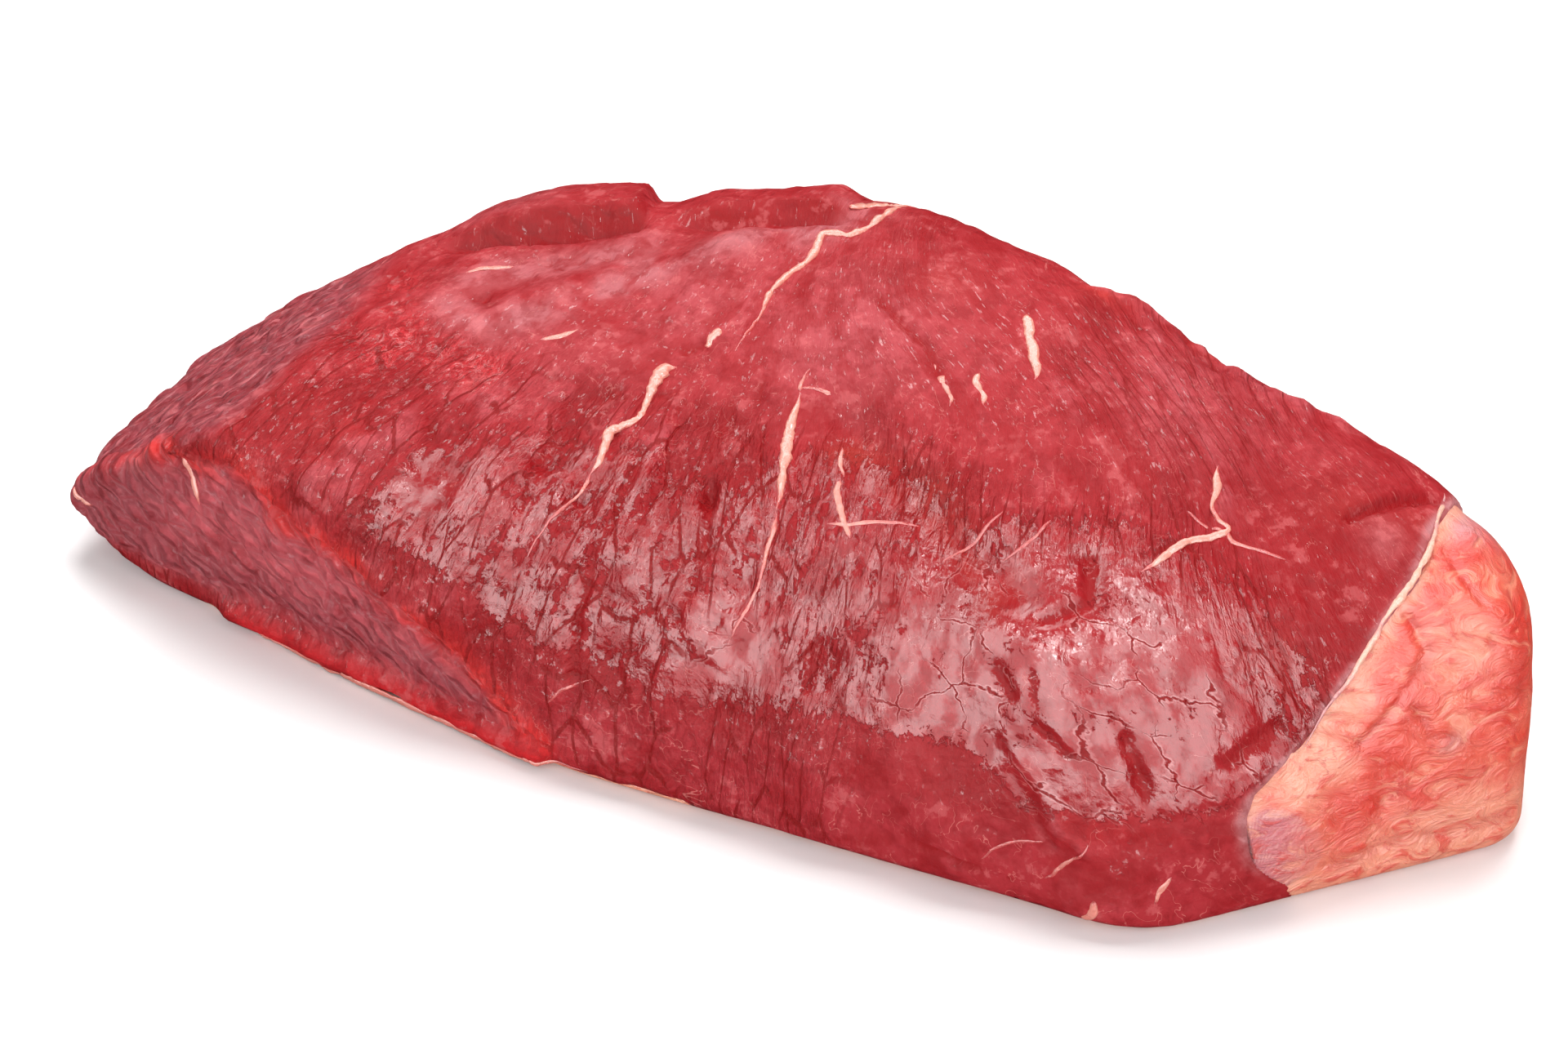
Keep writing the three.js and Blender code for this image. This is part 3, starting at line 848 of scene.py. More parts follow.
# split: openings of the film along the creases, ragged where the shreds open it.
split = m.range(m.plus(slit, m.times(m.plus(shreds, -0.5), 2.4)), 0.58, 0.62)
veins = m.noise(m.stretch(fibres, (0.22, 0.13, 1.0)), 1.0, 3.0, 0.5, 0.5)
vein = m.range(m.math("ABSOLUTE", m.math("SUBTRACT", veins, 0.5)), 0.009, 0.0)
vein = m.times(vein, m.range(patches, 0.46, 0.58), bare)
pale_net = m.noise(place, 420.0, 4.0, 0.7)
colour = m.layers(
    m.attribute("tint", "Color"),
    (m.times(m.range(mottled, 0.52, 0.40), 0.5), (132, 14, 20)),
    (m.times(m.range(mottled, 0.54, 0.62), m.range(film, 0.0, 0.5, 0.3, 0.0)), (218, 112, 114)),
    (m.times(m.range(patches, 0.50, 0.42), bare, 0.5), (146, 16, 22)),
    (m.times(m.range(streak, 0.54, 0.68), m.times(flank, 0.55)), (216, 120, 124)),
    # Painted shade in the fold lines along the fibres.
    (m.times(m.range(fold, 0.04, 0.0), m.plus(m.times(crinkle, bare, 0.3), m.times(flank, 0.5))), (118, 10, 16)),
    # Painted shade along the creases, and a darker red in the film's torn openings.
    (m.times(split, 0.6), (146, 18, 22)),
    # Painted shade in the gaps between torn shreds.
    (m.times(m.range(shreds, 0.48, 0.42), torn, 0.6), (120, 12, 18)),
    (m.times(vein, m.range(low, 0.0, 1.0, 0.35, 0.55)), (222, 130, 124)),
    # The cracks of the film: a deeper red, partly painted shade.
    (m.times(lines, 0.85), (130, 10, 12)),
    (m.times(rims, 0.3), (236, 160, 160)),
    # Painted shade in the seams between the bundles of the cut face.
    (m.times(m.range(bundles["Pillow"], 0.4, 0.0), cut, 0.35), (124, 40, 48)),
    (m.times(bundles["Rim"], cut, 0.14), (206, 140, 146)),
    (m.times(m.range(pale_net, 0.55, 0.72), m.plus(m.times(cut, 0.25), m.times(flank, 0.35))), (206, 160, 166)))
m.join(skin.inputs["Base Color"], colour)

# Wetness: a clear film with ragged edges, streaky on the left, broken by lines and slits; flecks elsewhere.
smooth_reach = m.plus(m.times(film, 0.74), m.times(m.plus(shreds, patches, -1.0), 1.0))
streaky_reach = m.plus(m.times(film, 0.60), m.times(m.plus(streak, -0.5), 1.5),
                       m.times(m.plus(patches, shreds, -1.0), 0.7))
mixed = m.add("ShaderNodeMix", data_type="FLOAT")
for socket, value in zip((0, 2, 3), (crinkle, smooth_reach, streaky_reach)):
    m.join(mixed.inputs[socket], value)
reach = mixed.outputs[0]
sheet = m.times(m.range(reach, 0.48, 0.505), m.math("SUBTRACT", 1.0, m.math("MAXIMUM", lines, split)))
specks = m.noise(m.stretch(fibres, (0.7, 0.26, 1.0)), 1.0, 3.0, 0.6)
fleck = m.times(m.range(m.plus(specks, m.times(crinkle, 0.05)), 0.645, 0.66), bare)
scraps = m.range(m.plus(shreds, m.times(torn, 0.16)), 0.63, 0.65)
shine = m.noise(m.stretch(fibres, (0.16, 0.07, 1.0)), 1.0, 4.0, 0.62, 0.4)
wet = m.times(m.math("MAXIMUM", m.math("MAXIMUM", sheet, scraps), fleck), m.range(shine, 0.40, 0.58, 0.30, 1.0))

# Fine shape in millimetres: soft swells, folds along the fibres, and torn shreds; lines are cut into it.
surface = m.plus(
    m.times(m.noise(place, 150.0, 2.0, 0.5), 1.3),
    m.times(fold, bare, m.range(crinkle, 0.0, 1.0, 0.2, 2.0)),
    m.times(shreds, m.plus(m.times(torn, 0.9), m.times(crinkle, 0.3), 0.15, m.times(cut, -0.1))),
    m.times(m.range(reach, 0.44, 0.52), 0.15))
height = m.plus(surface, m.times(bundles["Pillow"], m.plus(m.times(cut, 1.6), m.times(flank, 1.2))))
height = m.math("SUBTRACT", height, m.times(lines, 0.15))
bump = m.add("ShaderNodeBump", Strength=1.0, Distance=MM, Height=height)
m.join(skin.inputs["Normal"], bump.outputs[0])
film_bump = m.add("ShaderNodeBump", Strength=0.8, Distance=MM, Height=surface)
m.join(skin.inputs["Coat Normal"], film_bump.outputs[0])
m.join(skin.inputs["Roughness"], m.math("SUBTRACT", m.range(mottled, 0.35, 0.65, 0.46, 0.54), m.times(wet, 0.1)))
m.join(skin.inputs["Coat Weight"], wet)
for label, value in (("Coat Roughness", 0.06), ("Coat IOR", 1.5), ("IOR", 1.4), ("Specular IOR Level", 0.12)):
    skin.inputs[label].default_value = value

lean.data.materials.append(lean_material)
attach(lean, "root")
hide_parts("beef_rump")

# Fat side.
# A layer of soft salmon-coloured fat covers the right end, the underside and the foot of the back.
# It grows on the muscle, and ends in a thin pale edge against the lean.

FAT_ROWS = 140
FAT_COLUMNS = 560
FAT_TUCK = 3.0
FAT_DEPTH = 5.5
INNER_ROWS = 5
FAT_CROWDING, FAT_CROWD_BEARING, FAT_ROW_CROWDING = 0.42, 0.1, 1.7
FAT_TOP_LIFT, FAT_PROBES = 1.35, 700
FAT_HEART_HEIGHT, FAT_SUNK_EDGE = 6.0, 2.6
# The lump of gristle: middle and half width.
GRISTLE = ((139.5, -51, 17), 11.5)
# Named folds: half width, depth and points.
FAT_FOLDS = (
    (1.6, 1.1, ((147, -43, 10), (153, -39, 9), (162, -29, 12), (172, -19, 11), (181, -8, 11))),
    (1.3, 0.8, ((158, -30, 24), (166, -19, 26), (176, -8, 27))),
    (1.2, 1.0, ((152, -10, 62), (158, -12, 56), (158, -17, 50), (155, -24, 44), (151, -31, 40))),
    (1.2, 0.8, ((156, 6, 69), (160, 3, 66), (166, 1, 61), (170, -4, 54))),
    (1.0, 0.8, ((159, -20, 45), (163, -20, 38), (168, -17, 37))),
    (1.4, 0.8, ((170, 8, 62), (175, 2, 50), (178, -2, 44))),
)
# Broad differences of colour of the fat: where, half width, colour and share.
FAT_STAINS = (
    ((153, -10, 61), 7, "red", 0.8), ((156, -21, 48), 8, "red", 0.8), ((154, -28, 38), 8, "red", 0.8),
    ((159, -31, 26), 9, "red", 0.9), ((153, -37, 19), 8, "red", 0.8), ((173, 4, 58), 8, "red", 1.0),
    ((178, -2, 48), 8, "red", 0.8), ((177, -6, 38), 7, "red", 0.7), ((172, -15, 30), 8, "red", 0.4),
    ((158, 10, 69), 7, "red", 0.5), ((162, 3, 65), 5, "red", 0.5),
    ((166, -6, 58), 7, "pale", 0.6), ((148, -28, 48), 6, "pale", 0.8), ((144, -39, 37), 6, "pale", 1.0),
    ((142, -44, 31), 6, "pale", 1.0), ((166, -27, 8), 10, "pale", 0.7), ((175, -16, 14), 10, "pale", 0.7),
    ((164, -13, 52), 6, "pale", 0.4), ((152, 20, 70), 7, "skin", 1.0), ((155, 27, 66), 8, "skin", 0.8),
    ((168, -17, 37), 3, "grey", 0.5),
)


def fat_rays(bearing, lift):
    """Rays from the heart by compass bearing and lift above level, stretched as the lean's rays are."""
    bearing, lift = np.broadcast_arrays(bearing, lift)
    ray = np.stack([np.cos(lift) * np.cos(bearing), np.cos(lift) * np.sin(bearing), np.sin(lift)], -1)
    return ray * RAY_STRETCH


def fat_fold_ink(p):
    """Depth of the named folds at each point, and how much their bottoms are reddened."""
    q = wandered(p, 6, 1.2, 331)
    depth, ink = 0, np.zeros(p.shape[:-1])
    for width, sunk, path in FAT_FOLDS:
        depth = depth + sunk * near_path(q, path, width)
        ink = np.maximum(ink, near_path(q, path, 1.3 * width))
    return depth, ink


def fat_relief(p):
    """Fat above the form: a swell behind its edge, soft lumps, folds, and the lump of gristle."""
    behind = np.clip(fat_side(p), 0, 40)
    height = -0.9 + 1.3 * ease(behind, 0.5, 12)
    height = height + 0.9 * cloud(p, 22, 301) + 0.4 * cloud(p, 8, 305)
    folds = cloud(p / np.array((2.2, 2.2, 1.0)), 6, 309)
    height = height - 0.5 * groove(folds, 0.18) * ease(cloud(p, 20, 313), -0.2, 0.4)
    height = height - fat_fold_ink(p)[0]
    height = height + 1.8 * bell(np.linalg.norm(p - GRISTLE[0], axis=-1), GRISTLE[1])
    return height * ease(p[..., 2], 0.5, 7)


bearings = np.linspace(-math.pi, math.pi, FAT_COLUMNS, endpoint=False)
bearings = bearings - FAT_CROWDING * np.sin(bearings + FAT_CROWD_BEARING)
lifts = np.linspace(-math.pi / 2, FAT_TOP_LIFT, FAT_PROBES)
probe = on_form(fat_rays(bearings[:, None], lifts[None]))
cover = fat_side(probe)
last = cover.shape[1] - np.argmax(cover[:, ::-1] > 0, axis=1)
column = np.arange(FAT_COLUMNS)
stride = np.linalg.norm(np.diff(probe, axis=1), axis=-1)
length = np.concatenate([np.zeros((FAT_COLUMNS, 1)), np.cumsum(stride, axis=1)], axis=1)
part = cover[column, last - 1] / (cover[column, last - 1] - cover[column, last])
reach = length[column, last - 1] + part * stride[column, last - 1] + FAT_TUCK
share = 1 - (1 - np.linspace(0.0, 1.0, FAT_ROWS)) ** FAT_ROW_CROWDING
fat_lift = np.array([np.interp(reach[k] * share, length[k], lifts) for k in range(FAT_COLUMNS)]).T
fat_plain = on_form(fat_rays(bearings[None], fat_lift))
fat_normal = normals(fat_plain)
tucked = ease(-fat_side(fat_plain), 0.0, FAT_TUCK)
fat_outer = fat_plain + fat_normal * (fat_relief(fat_plain) - FAT_SUNK_EDGE * tucked)[..., None]
fat_outer[..., 2] = np.maximum(fat_outer[..., 2], 0.0)
inner_rows = np.linspace(FAT_ROWS - 1, FAT_ROWS // 4, INNER_ROWS).astype(int)
fat_inner = fat_plain[inner_rows] - fat_normal[inner_rows] * FAT_DEPTH
fat_rings = np.concatenate([fat_outer[1:], fat_inner])
fat_heart = HEART * np.array((1, 1, 0)) + np.array((0, 0, FAT_HEART_HEIGHT))
fat = rings_mesh("fat_side", [(fat_outer[0].mean(0), fat_rings, fat_heart)])

FAT_COLOURS = {
    "red": paint(212, 56, 42), "pale": paint(238, 158, 130), "skin": paint(206, 140, 144), "grey": paint(172, 118, 118)}
CREAM, VEIN_RED = paint(228, 92, 68), paint(182, 34, 28)
GRISTLE_PINK, GRISTLE_PALE = paint(196, 96, 104), paint(232, 170, 164)


def fat_tint(p):
    """Colour of the fat: cream with red and pale blotches, pale towards its edge, mauve on the gristle."""
    colour = np.broadcast_to(CREAM, p.shape).copy()
    q = wandered(p, 11, 4, 351)
    colour = layered(colour, (
        (FAT_COLOURS["red"], 0.65 * ease(cloud(q, 20, 361), -0.05, 0.45)),
        (FAT_COLOURS["pale"], 0.6 * ease(cloud(q, 13, 365), 0.05, 0.6)),
        (FAT_COLOURS["pale"], 0.7 * ease(-p[..., 2], -34, -4)),
    ))
    for middle, width, key, share in FAT_STAINS:
        near = bell(np.linalg.norm(q - middle, axis=-1), width)
        colour = blend(colour, FAT_COLOURS[key], share * near)
    colour = blend(colour, FAT_COLOURS["pale"], 0.8 * bell(fat_side(p) - 0.5, 2.6))
    colour = blend(colour, VEIN_RED, 0.45 * fat_fold_ink(p)[1])
    gristle = ease(bell(np.linalg.norm(wandered(p, 5, 2.5, 371) - GRISTLE[0], axis=-1), GRISTLE[1]), 0.30, 0.42)
    gristle = gristle * (1 - 0.75 * ease(p[..., 0], 139, 150))
    across = np.stack([p[..., 0] + p[..., 1], p[..., 2] * 2.2, 0 * p[..., 0]], -1)
    strands = cloud(across / np.array((4, 1, 1)), 2.2, 375)
    fibrous = blend(np.broadcast_to(GRISTLE_PINK, p.shape).copy(), GRISTLE_PALE, 0.7 * ease(strands, -0.2, 0.5))
    return blend(colour, fibrous, gristle), gristle


outer_tint, outer_gristle = fat_tint(fat_outer)
hidden = INNER_ROWS * FAT_COLUMNS + 1
parts = (outer_tint[:1].mean(1), outer_tint[1:].reshape(-1, 3), np.repeat(CREAM[None], hidden, 0))
put(fat, "tint", "FLOAT_COLOR", np.concatenate(parts))
parts = (outer_gristle[:1].mean(1), outer_gristle[1:].ravel(), np.zeros(hidden))
put(fat, "gristle", "FLOAT", np.concatenate(parts))

fat_material, m, skin = material("soft_beef_fat")
place = m.object_place()
gristle = m.attribute("gristle")
swirl = m.noise(m.stretch(place, (1.0, 1.0, 1.6)), 110.0, 5.0, 0.6, 1.6)
vessels = m.noise(place, 95.0, 4.0, 0.6, 0.9)
vessel = m.times(m.range(m.math("ABSOLUTE", m.math("SUBTRACT", vessels, 0.5)), 0.018, 0.0),
                 m.range(m.noise(place, 60.0, 2.0), 0.50, 0.60))
colour = m.layers(
    m.attribute("tint", "Color"),
    (m.range(swirl, 0.51, 0.66, 0.0, 0.7), (212, 46, 34)),
    (m.range(swirl, 0.47, 0.34, 0.0, 0.5), (240, 156, 126)),
    (m.times(vessel, 0.55), (196, 56, 48)))
m.join(skin.inputs["Base Color"], colour)
lumps = m.add("ShaderNodeTexVoronoi", feature="SMOOTH_F1", Vector=place, Scale=380.0)
fibrils = m.noise(m.stretch(place, (1.0, 1.0, 3.2)), 520.0, 4.0, 0.6)
height = m.plus(m.times(lumps.outputs["Distance"], 0.3), m.times(swirl, 2.6), m.times(fibrils, gristle, 0.9),
                m.times(m.noise(place, 900.0), 0.12))
bump = m.add("ShaderNodeBump", Strength=0.8, Distance=MM, Height=height)
m.join(skin.inputs["Normal"], bump.outputs[0])
m.join(skin.inputs["Roughness"], m.range(m.noise(place, 200.0), 0.3, 0.7, 0.34, 0.5))
for label, value in (("Coat Weight", 0.12), ("Coat Roughness", 0.22), ("Subsurface Weight", 0.3),
                     ("Subsurface Radius", (1.0, 0.5, 0.3)), ("Subsurface Scale", 0.005)):
    skin.inputs[label].default_value = value
fat.data.materials.append(fat_material)
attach(fat, "root")
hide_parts("beef_rump")

# Strands of fat and sinew.
# Bands of white fat lie in the seams between muscles, and thin pale sinews run over the lean.
# Each was part of the sheath that joined two muscles, and stayed on when they were parted.

# Each strand: how far it stands up, and its points on the surface with the half width there.
FAT_STRANDS = (
    (0.7, ((-10, 62, 76, 1.3), (-12, 59, 77, 1.4), (-13, 49, 80, 1.2), (-17, 40, 80, 1.2), (-23, 37, 79, 1.3),
           (-22, 28, 79, 1.2), (-24, 18, 79, 1.1), (-24, 10, 78, 0.9), (-23, 5, 78, 0.6), (-23, -2, 77, 0.45),
           (-23, -7, 76, 0.4), (-24, -13, 75, 0.3))),
    (0.5, ((-12, 60, 77, 1.2), (-16, 59, 77, 1.6), (-20, 55, 78, 2.0), (-22, 50, 79, 1.4))),
    (1.0, ((-33, -19, 72, 0.9), (-36, -21, 72, 2.0), (-36, -24, 71, 1.8), (-35, -31, 69, 1.2), (-35, -36, 68, 1.1),
           (-39, -41, 66, 1.3), (-39, -45, 65, 1.4), (-38, -49, 63, 1.2), (-39, -53, 62, 0.5))),
    (0.7, ((-29, -5, 76, 0.8), (-30, -8, 75, 1.5), (-30, -11, 75, 0.9))),
    (0.8, ((-1, -17, 75, 0.5), (0, -19, 75, 0.6), (1, -24, 73, 1.1), (2, -28, 72, 1.7), (4, -33, 70, 1.5),
           (6, -39, 69, 1.3), (8, -43, 66, 0.7), (9, -48, 65, 0.4))),
    (0.6, ((37, 28, 82, 0.8), (38, 26, 82, 1.4), (43, 19, 82, 1.5), (48, 11, 81, 1.2), (49, 8, 81, 0.5))),
    (0.5, ((36, 4, 80, 0.5), (37, 1, 80, 1.1), (40, -2, 79, 1.0), (42, -5, 79, 0.4))),
    (0.5, ((98, 2, 77, 0.4), (100, -1, 77, 0.9), (102, -5, 76, 1.0), (102, -9, 75, 0.7), (105, -12, 74, 0.6),
           (108, -14, 73, 0.9), (101, -21, 72, 1.2), (97, -29, 70, 0.8), (95, -33, 69, 0.3))),
    (0.5, ((-141, -78, 46, 0.4), (-138, -78, 43, 1.0), (-136, -79, 38, 0.9), (-136, -80, 34, 0.4))),
    (0.5, ((-178, -74, 19, 0.5), (-175, -76, 18, 0.9), (-172, -77, 18, 0.5))),
    (0.4, ((-126, 32, 49, 0.6), (-120, 40, 49, 1.4), (-113, 46, 50, 0.8))),
)
SINEWS = (
    (0.35, ((9, -48, 65, 0.5), (10, -50, 64, 0.6), (11, -56, 61, 0.7), (12, -61, 57, 0.5), (12, -67, 52, 0.6),
            (10, -74, 44, 0.3))),
    (0.35, ((-2, -10, 77, 0.3), (-2, -14, 76, 0.6), (-1, -17, 75, 0.7))),
    (0.35, ((-1, -16, 76, 0.5), (2, -15, 76, 0.5), (6, -15, 76, 0.8))),
    (0.35, ((-39, -52, 62, 0.6), (-39, -58, 59, 0.6), (-42, -66, 54, 0.4), (-43, -72, 48, 0.3))),
    (0.3, ((24, 4, 80, 0.5), (28, -1, 79, 0.9), (33, -6, 78, 0.8), (34, -9, 77, 0.3))),
    (0.3, ((108, -14, 73, 0.7), (111, -16, 72, 0.6), (116, -15, 71, 0.5), (122, -14, 70, 0.3))),
    (0.3, ((96, -13, 74, 0.3), (101, -15, 73, 0.5), (107, -14, 73, 0.6))),
    (0.4, ((19, -35, 69, 0.4), (21, -40, 69, 1.1), (24, -44, 67, 1.1), (29, -49, 65, 0.7))),
    (0.3, ((22, -48, 66, 0.4), (26, -46, 66, 0.7), (32, -43, 67, 0.6), (42, -40, 68, 0.4))),
    (0.3, ((15, -27, 72, 0.4), (17, -31, 71, 0.8), (20, -35, 70, 0.4))),
    (0.25, ((-103, -4, 66, 0.5), (-98, 1, 67, 1.1), (-94, 4, 68, 0.5))),
    (0.25, ((-70, -23, 70, 0.6), (-66, -20, 71, 1.0), (-62, -16, 71, 0.4))),
    (0.25, ((58, -30, 71, 0.3), (56, -38, 69, 0.5), (52, -47, 66, 0.4))),
    (0.25, ((70, -28, 72, 0.3), (68, -34, 70, 0.5), (63, -42, 67, 0.3))),
    (0.4, ((106, -79, 3, 1.0), (107, -78, 6, 1.4), (108, -78, 10, 0.5))),
    (0.3, ((120, -73, 9, 0.4), (122, -72, 13, 1.0), (125, -70, 16, 0.4))),
    (0.3, ((79, -80, 13, 0.3), (84, -79, 18, 0.5), (92, -76, 22, 0.4))),
    (0.3, ((93, -78, 12, 0.3), (98, -77, 17, 0.6), (103, -75, 24, 0.3))),
    (0.3, ((-31, -89, 20, 0.3), (-28, -88, 24, 0.5), (-22, -86, 28, 0.3))),
    (0.5, ((-126, -80, 1.5, 0.5), (-100, -84, 2, 1.3), (-70, -87, 2, 1.4), (-45, -89.5, 2, 1.1), (-20, -91, 3, 0.4))),
)
# The pale lip of skin along the front edge of the fat, by height above the floor.
LIP = ((147, 28, 69, 0.4), (149, 19, 71, 0.7), (150, 12, 71, 0.6), (150, 1, 69, 0.9), (150, -8, 65, 1.0),
       (147, -14, 61, 0.6), (146, -21, 56, 0.8), (145, -26, 52, 0.6), (143, -32, 48, 0.4), (140, -40, 40, 0.3))
STRAND_SIDES = 12
STRAND_STEP = 0.6
SPAN_STEPS = 24
STRAND_WIDTH = 0.85
TAPER_SHARE, TAPER_POWER = 0.10, 0.6
SUNK = 0.08


def smooth_path(points, step):
    """A Catmull-Rom curve through points, at even steps: each span is a cubic of its four nearest points."""
    p = np.array(points, float)
    p = np.concatenate([2 * p[:1] - p[1:2], p, 2 * p[-1:] - p[-2:-1]])
    t = np.linspace(0, 1, SPAN_STEPS, endpoint=False)[:, None]
    spans = []
    for a, b, c, d in zip(p[:-3], p[1:-2], p[2:-1], p[3:]):
        cubic = 2 * b + (c - a) * t + (2 * a - 5 * b + 4 * c - d) * t**2 + (3 * b - a - 3 * c + d) * t**3
        spans.append(0.5 * cubic)
    curve = np.concatenate(spans + [p[-2:-1]])
    gone = np.concatenate([[0], np.cumsum(np.linalg.norm(np.diff(curve[:, :3], axis=0), axis=1))])
    even = np.linspace(0, gone[-1], max(int(gone[-1] / step), 6) + 1)
    return np.stack([np.interp(even, gone, curve[:, k]) for k in range(curve.shape[1])], -1)


def laid_on_meat(path):
    """A path dropped onto the lean along rays from the heart, and the form's normals there."""
    base = on_form(path - HEART)
    n = normals(base)
    height = broad_relief(base) + skin_relief(base, zones(base)) + crease_relief(base)[0]
    return base + n * height[..., None], n


def strand(stands, points, seed):
    """A flattened tube on the meat: an ellipse across the path, whose size wavers and tapers to both ends."""
    path = smooth_path(points, STRAND_STEP)
    q = path[:, :3]
    aside = 0.45 * np.stack([cloud(q, 3.5, seed, 2), cloud(q, 3.5, seed + 3, 2), 0 * path[:, 0]], -1)
    place, up = laid_on_meat(q + aside)
    ahead = np.gradient(place, axis=0)
    ahead /= np.linalg.norm(ahead, axis=1, keepdims=True)
    side = np.cross(ahead, up)
    side /= np.linalg.norm(side, axis=1, keepdims=True)
    gone = np.linspace(0, 1, len(path))
    taper = np.clip(np.minimum(gone, 1 - gone) / TAPER_SHARE, 0, 1) ** TAPER_POWER
    waver = 1 + 0.45 * cloud(q, 3.0, seed + 5, 2) + 0.25 * cloud(q, 1.2, seed + 7, 2)
    wide = np.maximum(STRAND_WIDTH * path[:, 3] * taper * waver, 0.05)
    high = np.minimum(stands, 0.8 * wide) * waver
    angle = 2 * math.pi * np.arange(STRAND_SIDES) / STRAND_SIDES
    ripple = 1 + 0.2 * cloud(place[:, None] + side[:, None] * np.cos(angle)[:, None], 1.3, seed + 9, 2)
    across = side[:, None] * (wide[:, None] * np.cos(angle) * ripple)[..., None]
    lift = up[:, None] * (high[:, None] * np.sin(angle) * ripple - SUNK)[..., None]
    rings = (place[:, None] + across + lift)[:, ::-1]
    solid = ease(path[:, 3] * taper, 0.25, 0.95)
    return (place[0], rings, place[-1]), np.concatenate([solid[:1], np.repeat(solid, STRAND_SIDES), solid[-1:]])


def strands_piece(name, rows, seed):
    """One piece of several strands, with how solid each point is, from thin film to thick fat."""
    made = [strand(*row, seed + 20 * k) for k, row in enumerate(rows)]
    piece = rings_mesh(name, [skin_of for skin_of, _ in made])
    put(piece, "solid", "FLOAT", np.concatenate([solid for _, solid in made]))
    return piece


def strand_material(name, thick, thin, wetness):
    """Moist fat or sinew: its thick colour fades to its thin one where it is not solid."""
    made, m, skin = material(name)
    place = m.object_place()
    milky = m.noise(place, 420.0, 4.0, 0.6)
    solid = m.plus(m.attribute("solid"), m.times(m.math("SUBTRACT", milky, 0.5), 1.1))
    colour = m.mix(m.range(solid, 0.1, 0.9), (*paint(*thin), 1), (*paint(*thick), 1))
    m.join(skin.inputs["Base Color"], colour)
    height = m.plus(m.times(m.noise(place, 900.0), 0.3), m.times(milky, 1.2))
    bump = m.add("ShaderNodeBump", Strength=0.7, Distance=MM, Height=height)
    m.join(skin.inputs["Normal"], bump.outputs[0])
    m.join(skin.inputs["Roughness"], m.range(milky, 0.3, 0.7, 0.3, 0.45))
    for label, value in (("Coat Weight", wetness), ("Coat Roughness", 0.12), ("Subsurface Weight", 0.25),
                         ("Subsurface Radius", (1.0, 0.4, 0.3)), ("Subsurface Scale", 0.002)):
        skin.inputs[label].default_value = value
    return made


fat_strands = strands_piece("fat_strands", FAT_STRANDS, 401)
fat_strands.data.materials.append(strand_material("white_strand_fat", (232, 150, 134), (198, 74, 70), 0.6))
sinews = strands_piece("sinews", SINEWS, 801)
sinews.data.materials.append(strand_material("pink_sinew", (226, 138, 124), (186, 66, 66), 0.3))
lip = strands_piece("skin_lip", ((0.5, LIP),), 1301)
lip.data.materials.append(strand_material("pale_skin_lip", (238, 176, 154), (200, 130, 130), 0.2))
for piece in (fat_strands, sinews, lip):
    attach(piece, "root")
    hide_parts("beef_rump")

# Floor, light and camera.
# A plain pale floor and a pale surround, with soft panels in front, overhead and at the right, as in a studio.
# Wide panels that only gloss sees stand in front of the wet film and behind the crest.

FLOOR_HALF = 4.0
FLOOR_TOP = -0.0003
FLOOR_GREY = 0.90
SURROUND_STRENGTH = 0.32
PANEL_AIM = (0, 0, 0.04)
floor_mesh = bpy.data.meshes.new("floor")
sides = ((-1, -1), (1, -1), (1, 1), (-1, 1))
floor_mesh.from_pydata([(x * FLOOR_HALF, y * FLOOR_HALF, FLOOR_TOP) for x, y in sides], [], [(0, 1, 2, 3)])
floor = bpy.data.objects.new("floor", floor_mesh)
bpy.context.scene.collection.objects.link(floor)
floor_material, m, skin = material("pale_floor")
skin.inputs["Base Color"].default_value = (FLOOR_GREY, FLOOR_GREY, FLOOR_GREY, 1)
skin.inputs["Roughness"].default_value = 0.7
skin.inputs["Specular IOR Level"].default_value = 0.2
floor.data.materials.append(floor_material)
floor.visible_glossy = False

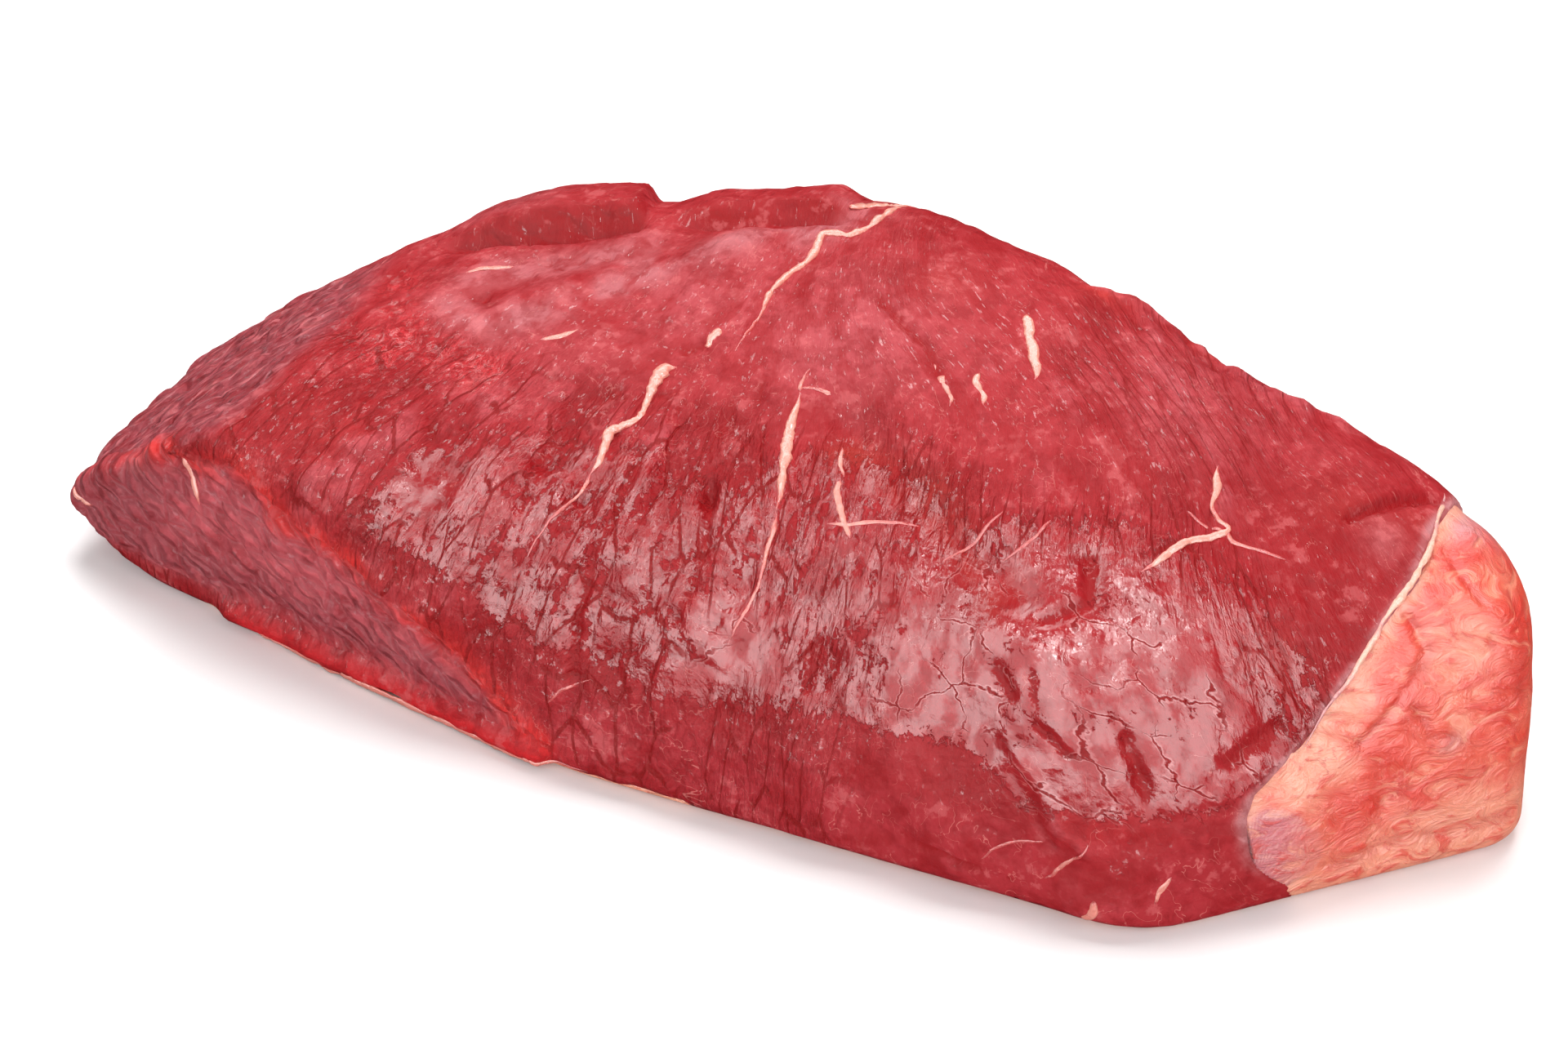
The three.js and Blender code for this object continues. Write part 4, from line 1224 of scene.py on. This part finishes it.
world = bpy.data.worlds.new("surround")
world.use_nodes = True
world.node_tree.nodes["Background"].inputs["Color"].default_value = (1, 1, 1, 1)
world.node_tree.nodes["Background"].inputs["Strength"].default_value = SURROUND_STRENGTH
world.cycles_visibility.glossy = False
bpy.context.scene.world = world
bpy.context.scene.view_settings.view_transform = "Standard"


def panel(name, bearing, lift, distance, width, height, watts):
    """A soft light: a rectangle at a bearing and a lift above level that faces the meat."""
    light = bpy.data.lights.new(name, "AREA")
    light.shape = "RECTANGLE"
    light.size, light.size_y, light.energy = width, height, watts
    lamp = bpy.data.objects.new(name, light)
    bearing, lift = math.radians(bearing), math.radians(lift)
    away = np.array((math.cos(bearing) * math.cos(lift), math.sin(bearing) * math.cos(lift), math.sin(lift)))
    lamp.location = away * distance + np.array(PANEL_AIM)
    lamp.rotation_euler = (math.pi / 2 - lift, 0, bearing + math.pi / 2)
    bpy.context.scene.collection.objects.link(lamp)
    return lamp


# Bearing and lift in degrees, distance, width, height and watts. The first three give gloss alone,
# and the others light alone.
panel("front_gloss", -80, 37, 1.6, 5.5, 2.35, 240).visible_diffuse = False
panel("back_gloss", 138, 48, 1.8, 3.4, 1.0, 60).visible_diffuse = False
panel("high_glint", -70, 78, 1.8, 0.5, 0.3, 14).visible_diffuse = False
panel("front_softbox", -85, 38, 2.4, 2.4, 1.7, 26).visible_glossy = False
panel("overhead_softbox", 110, 66, 2.2, 1.4, 1.1, 52).visible_glossy = False
panel("right_fill", -5, 30, 2.0, 1.2, 1.2, 12).visible_glossy = False

CAMERA_AIM = np.array((-4.2, -19.3, 35)) * MM
CAMERA_BEARING, CAMERA_LIFT, CAMERA_DISTANCE = math.radians(28), math.radians(40), 0.960
CAMERA_LENS, CAMERA_SENSOR = 90, 36
camera = bpy.data.objects.new("camera", bpy.data.cameras.new("camera"))
camera.data.lens, camera.data.sensor_width = CAMERA_LENS, CAMERA_SENSOR
level = math.cos(CAMERA_LIFT)
back = np.array((math.sin(CAMERA_BEARING) * level, -math.cos(CAMERA_BEARING) * level, math.sin(CAMERA_LIFT)))
camera.location = CAMERA_AIM + back * CAMERA_DISTANCE
camera.rotation_euler = (math.pi / 2 - CAMERA_LIFT, 0, CAMERA_BEARING)
bpy.context.scene.collection.objects.link(camera)
bpy.context.scene.camera = camera
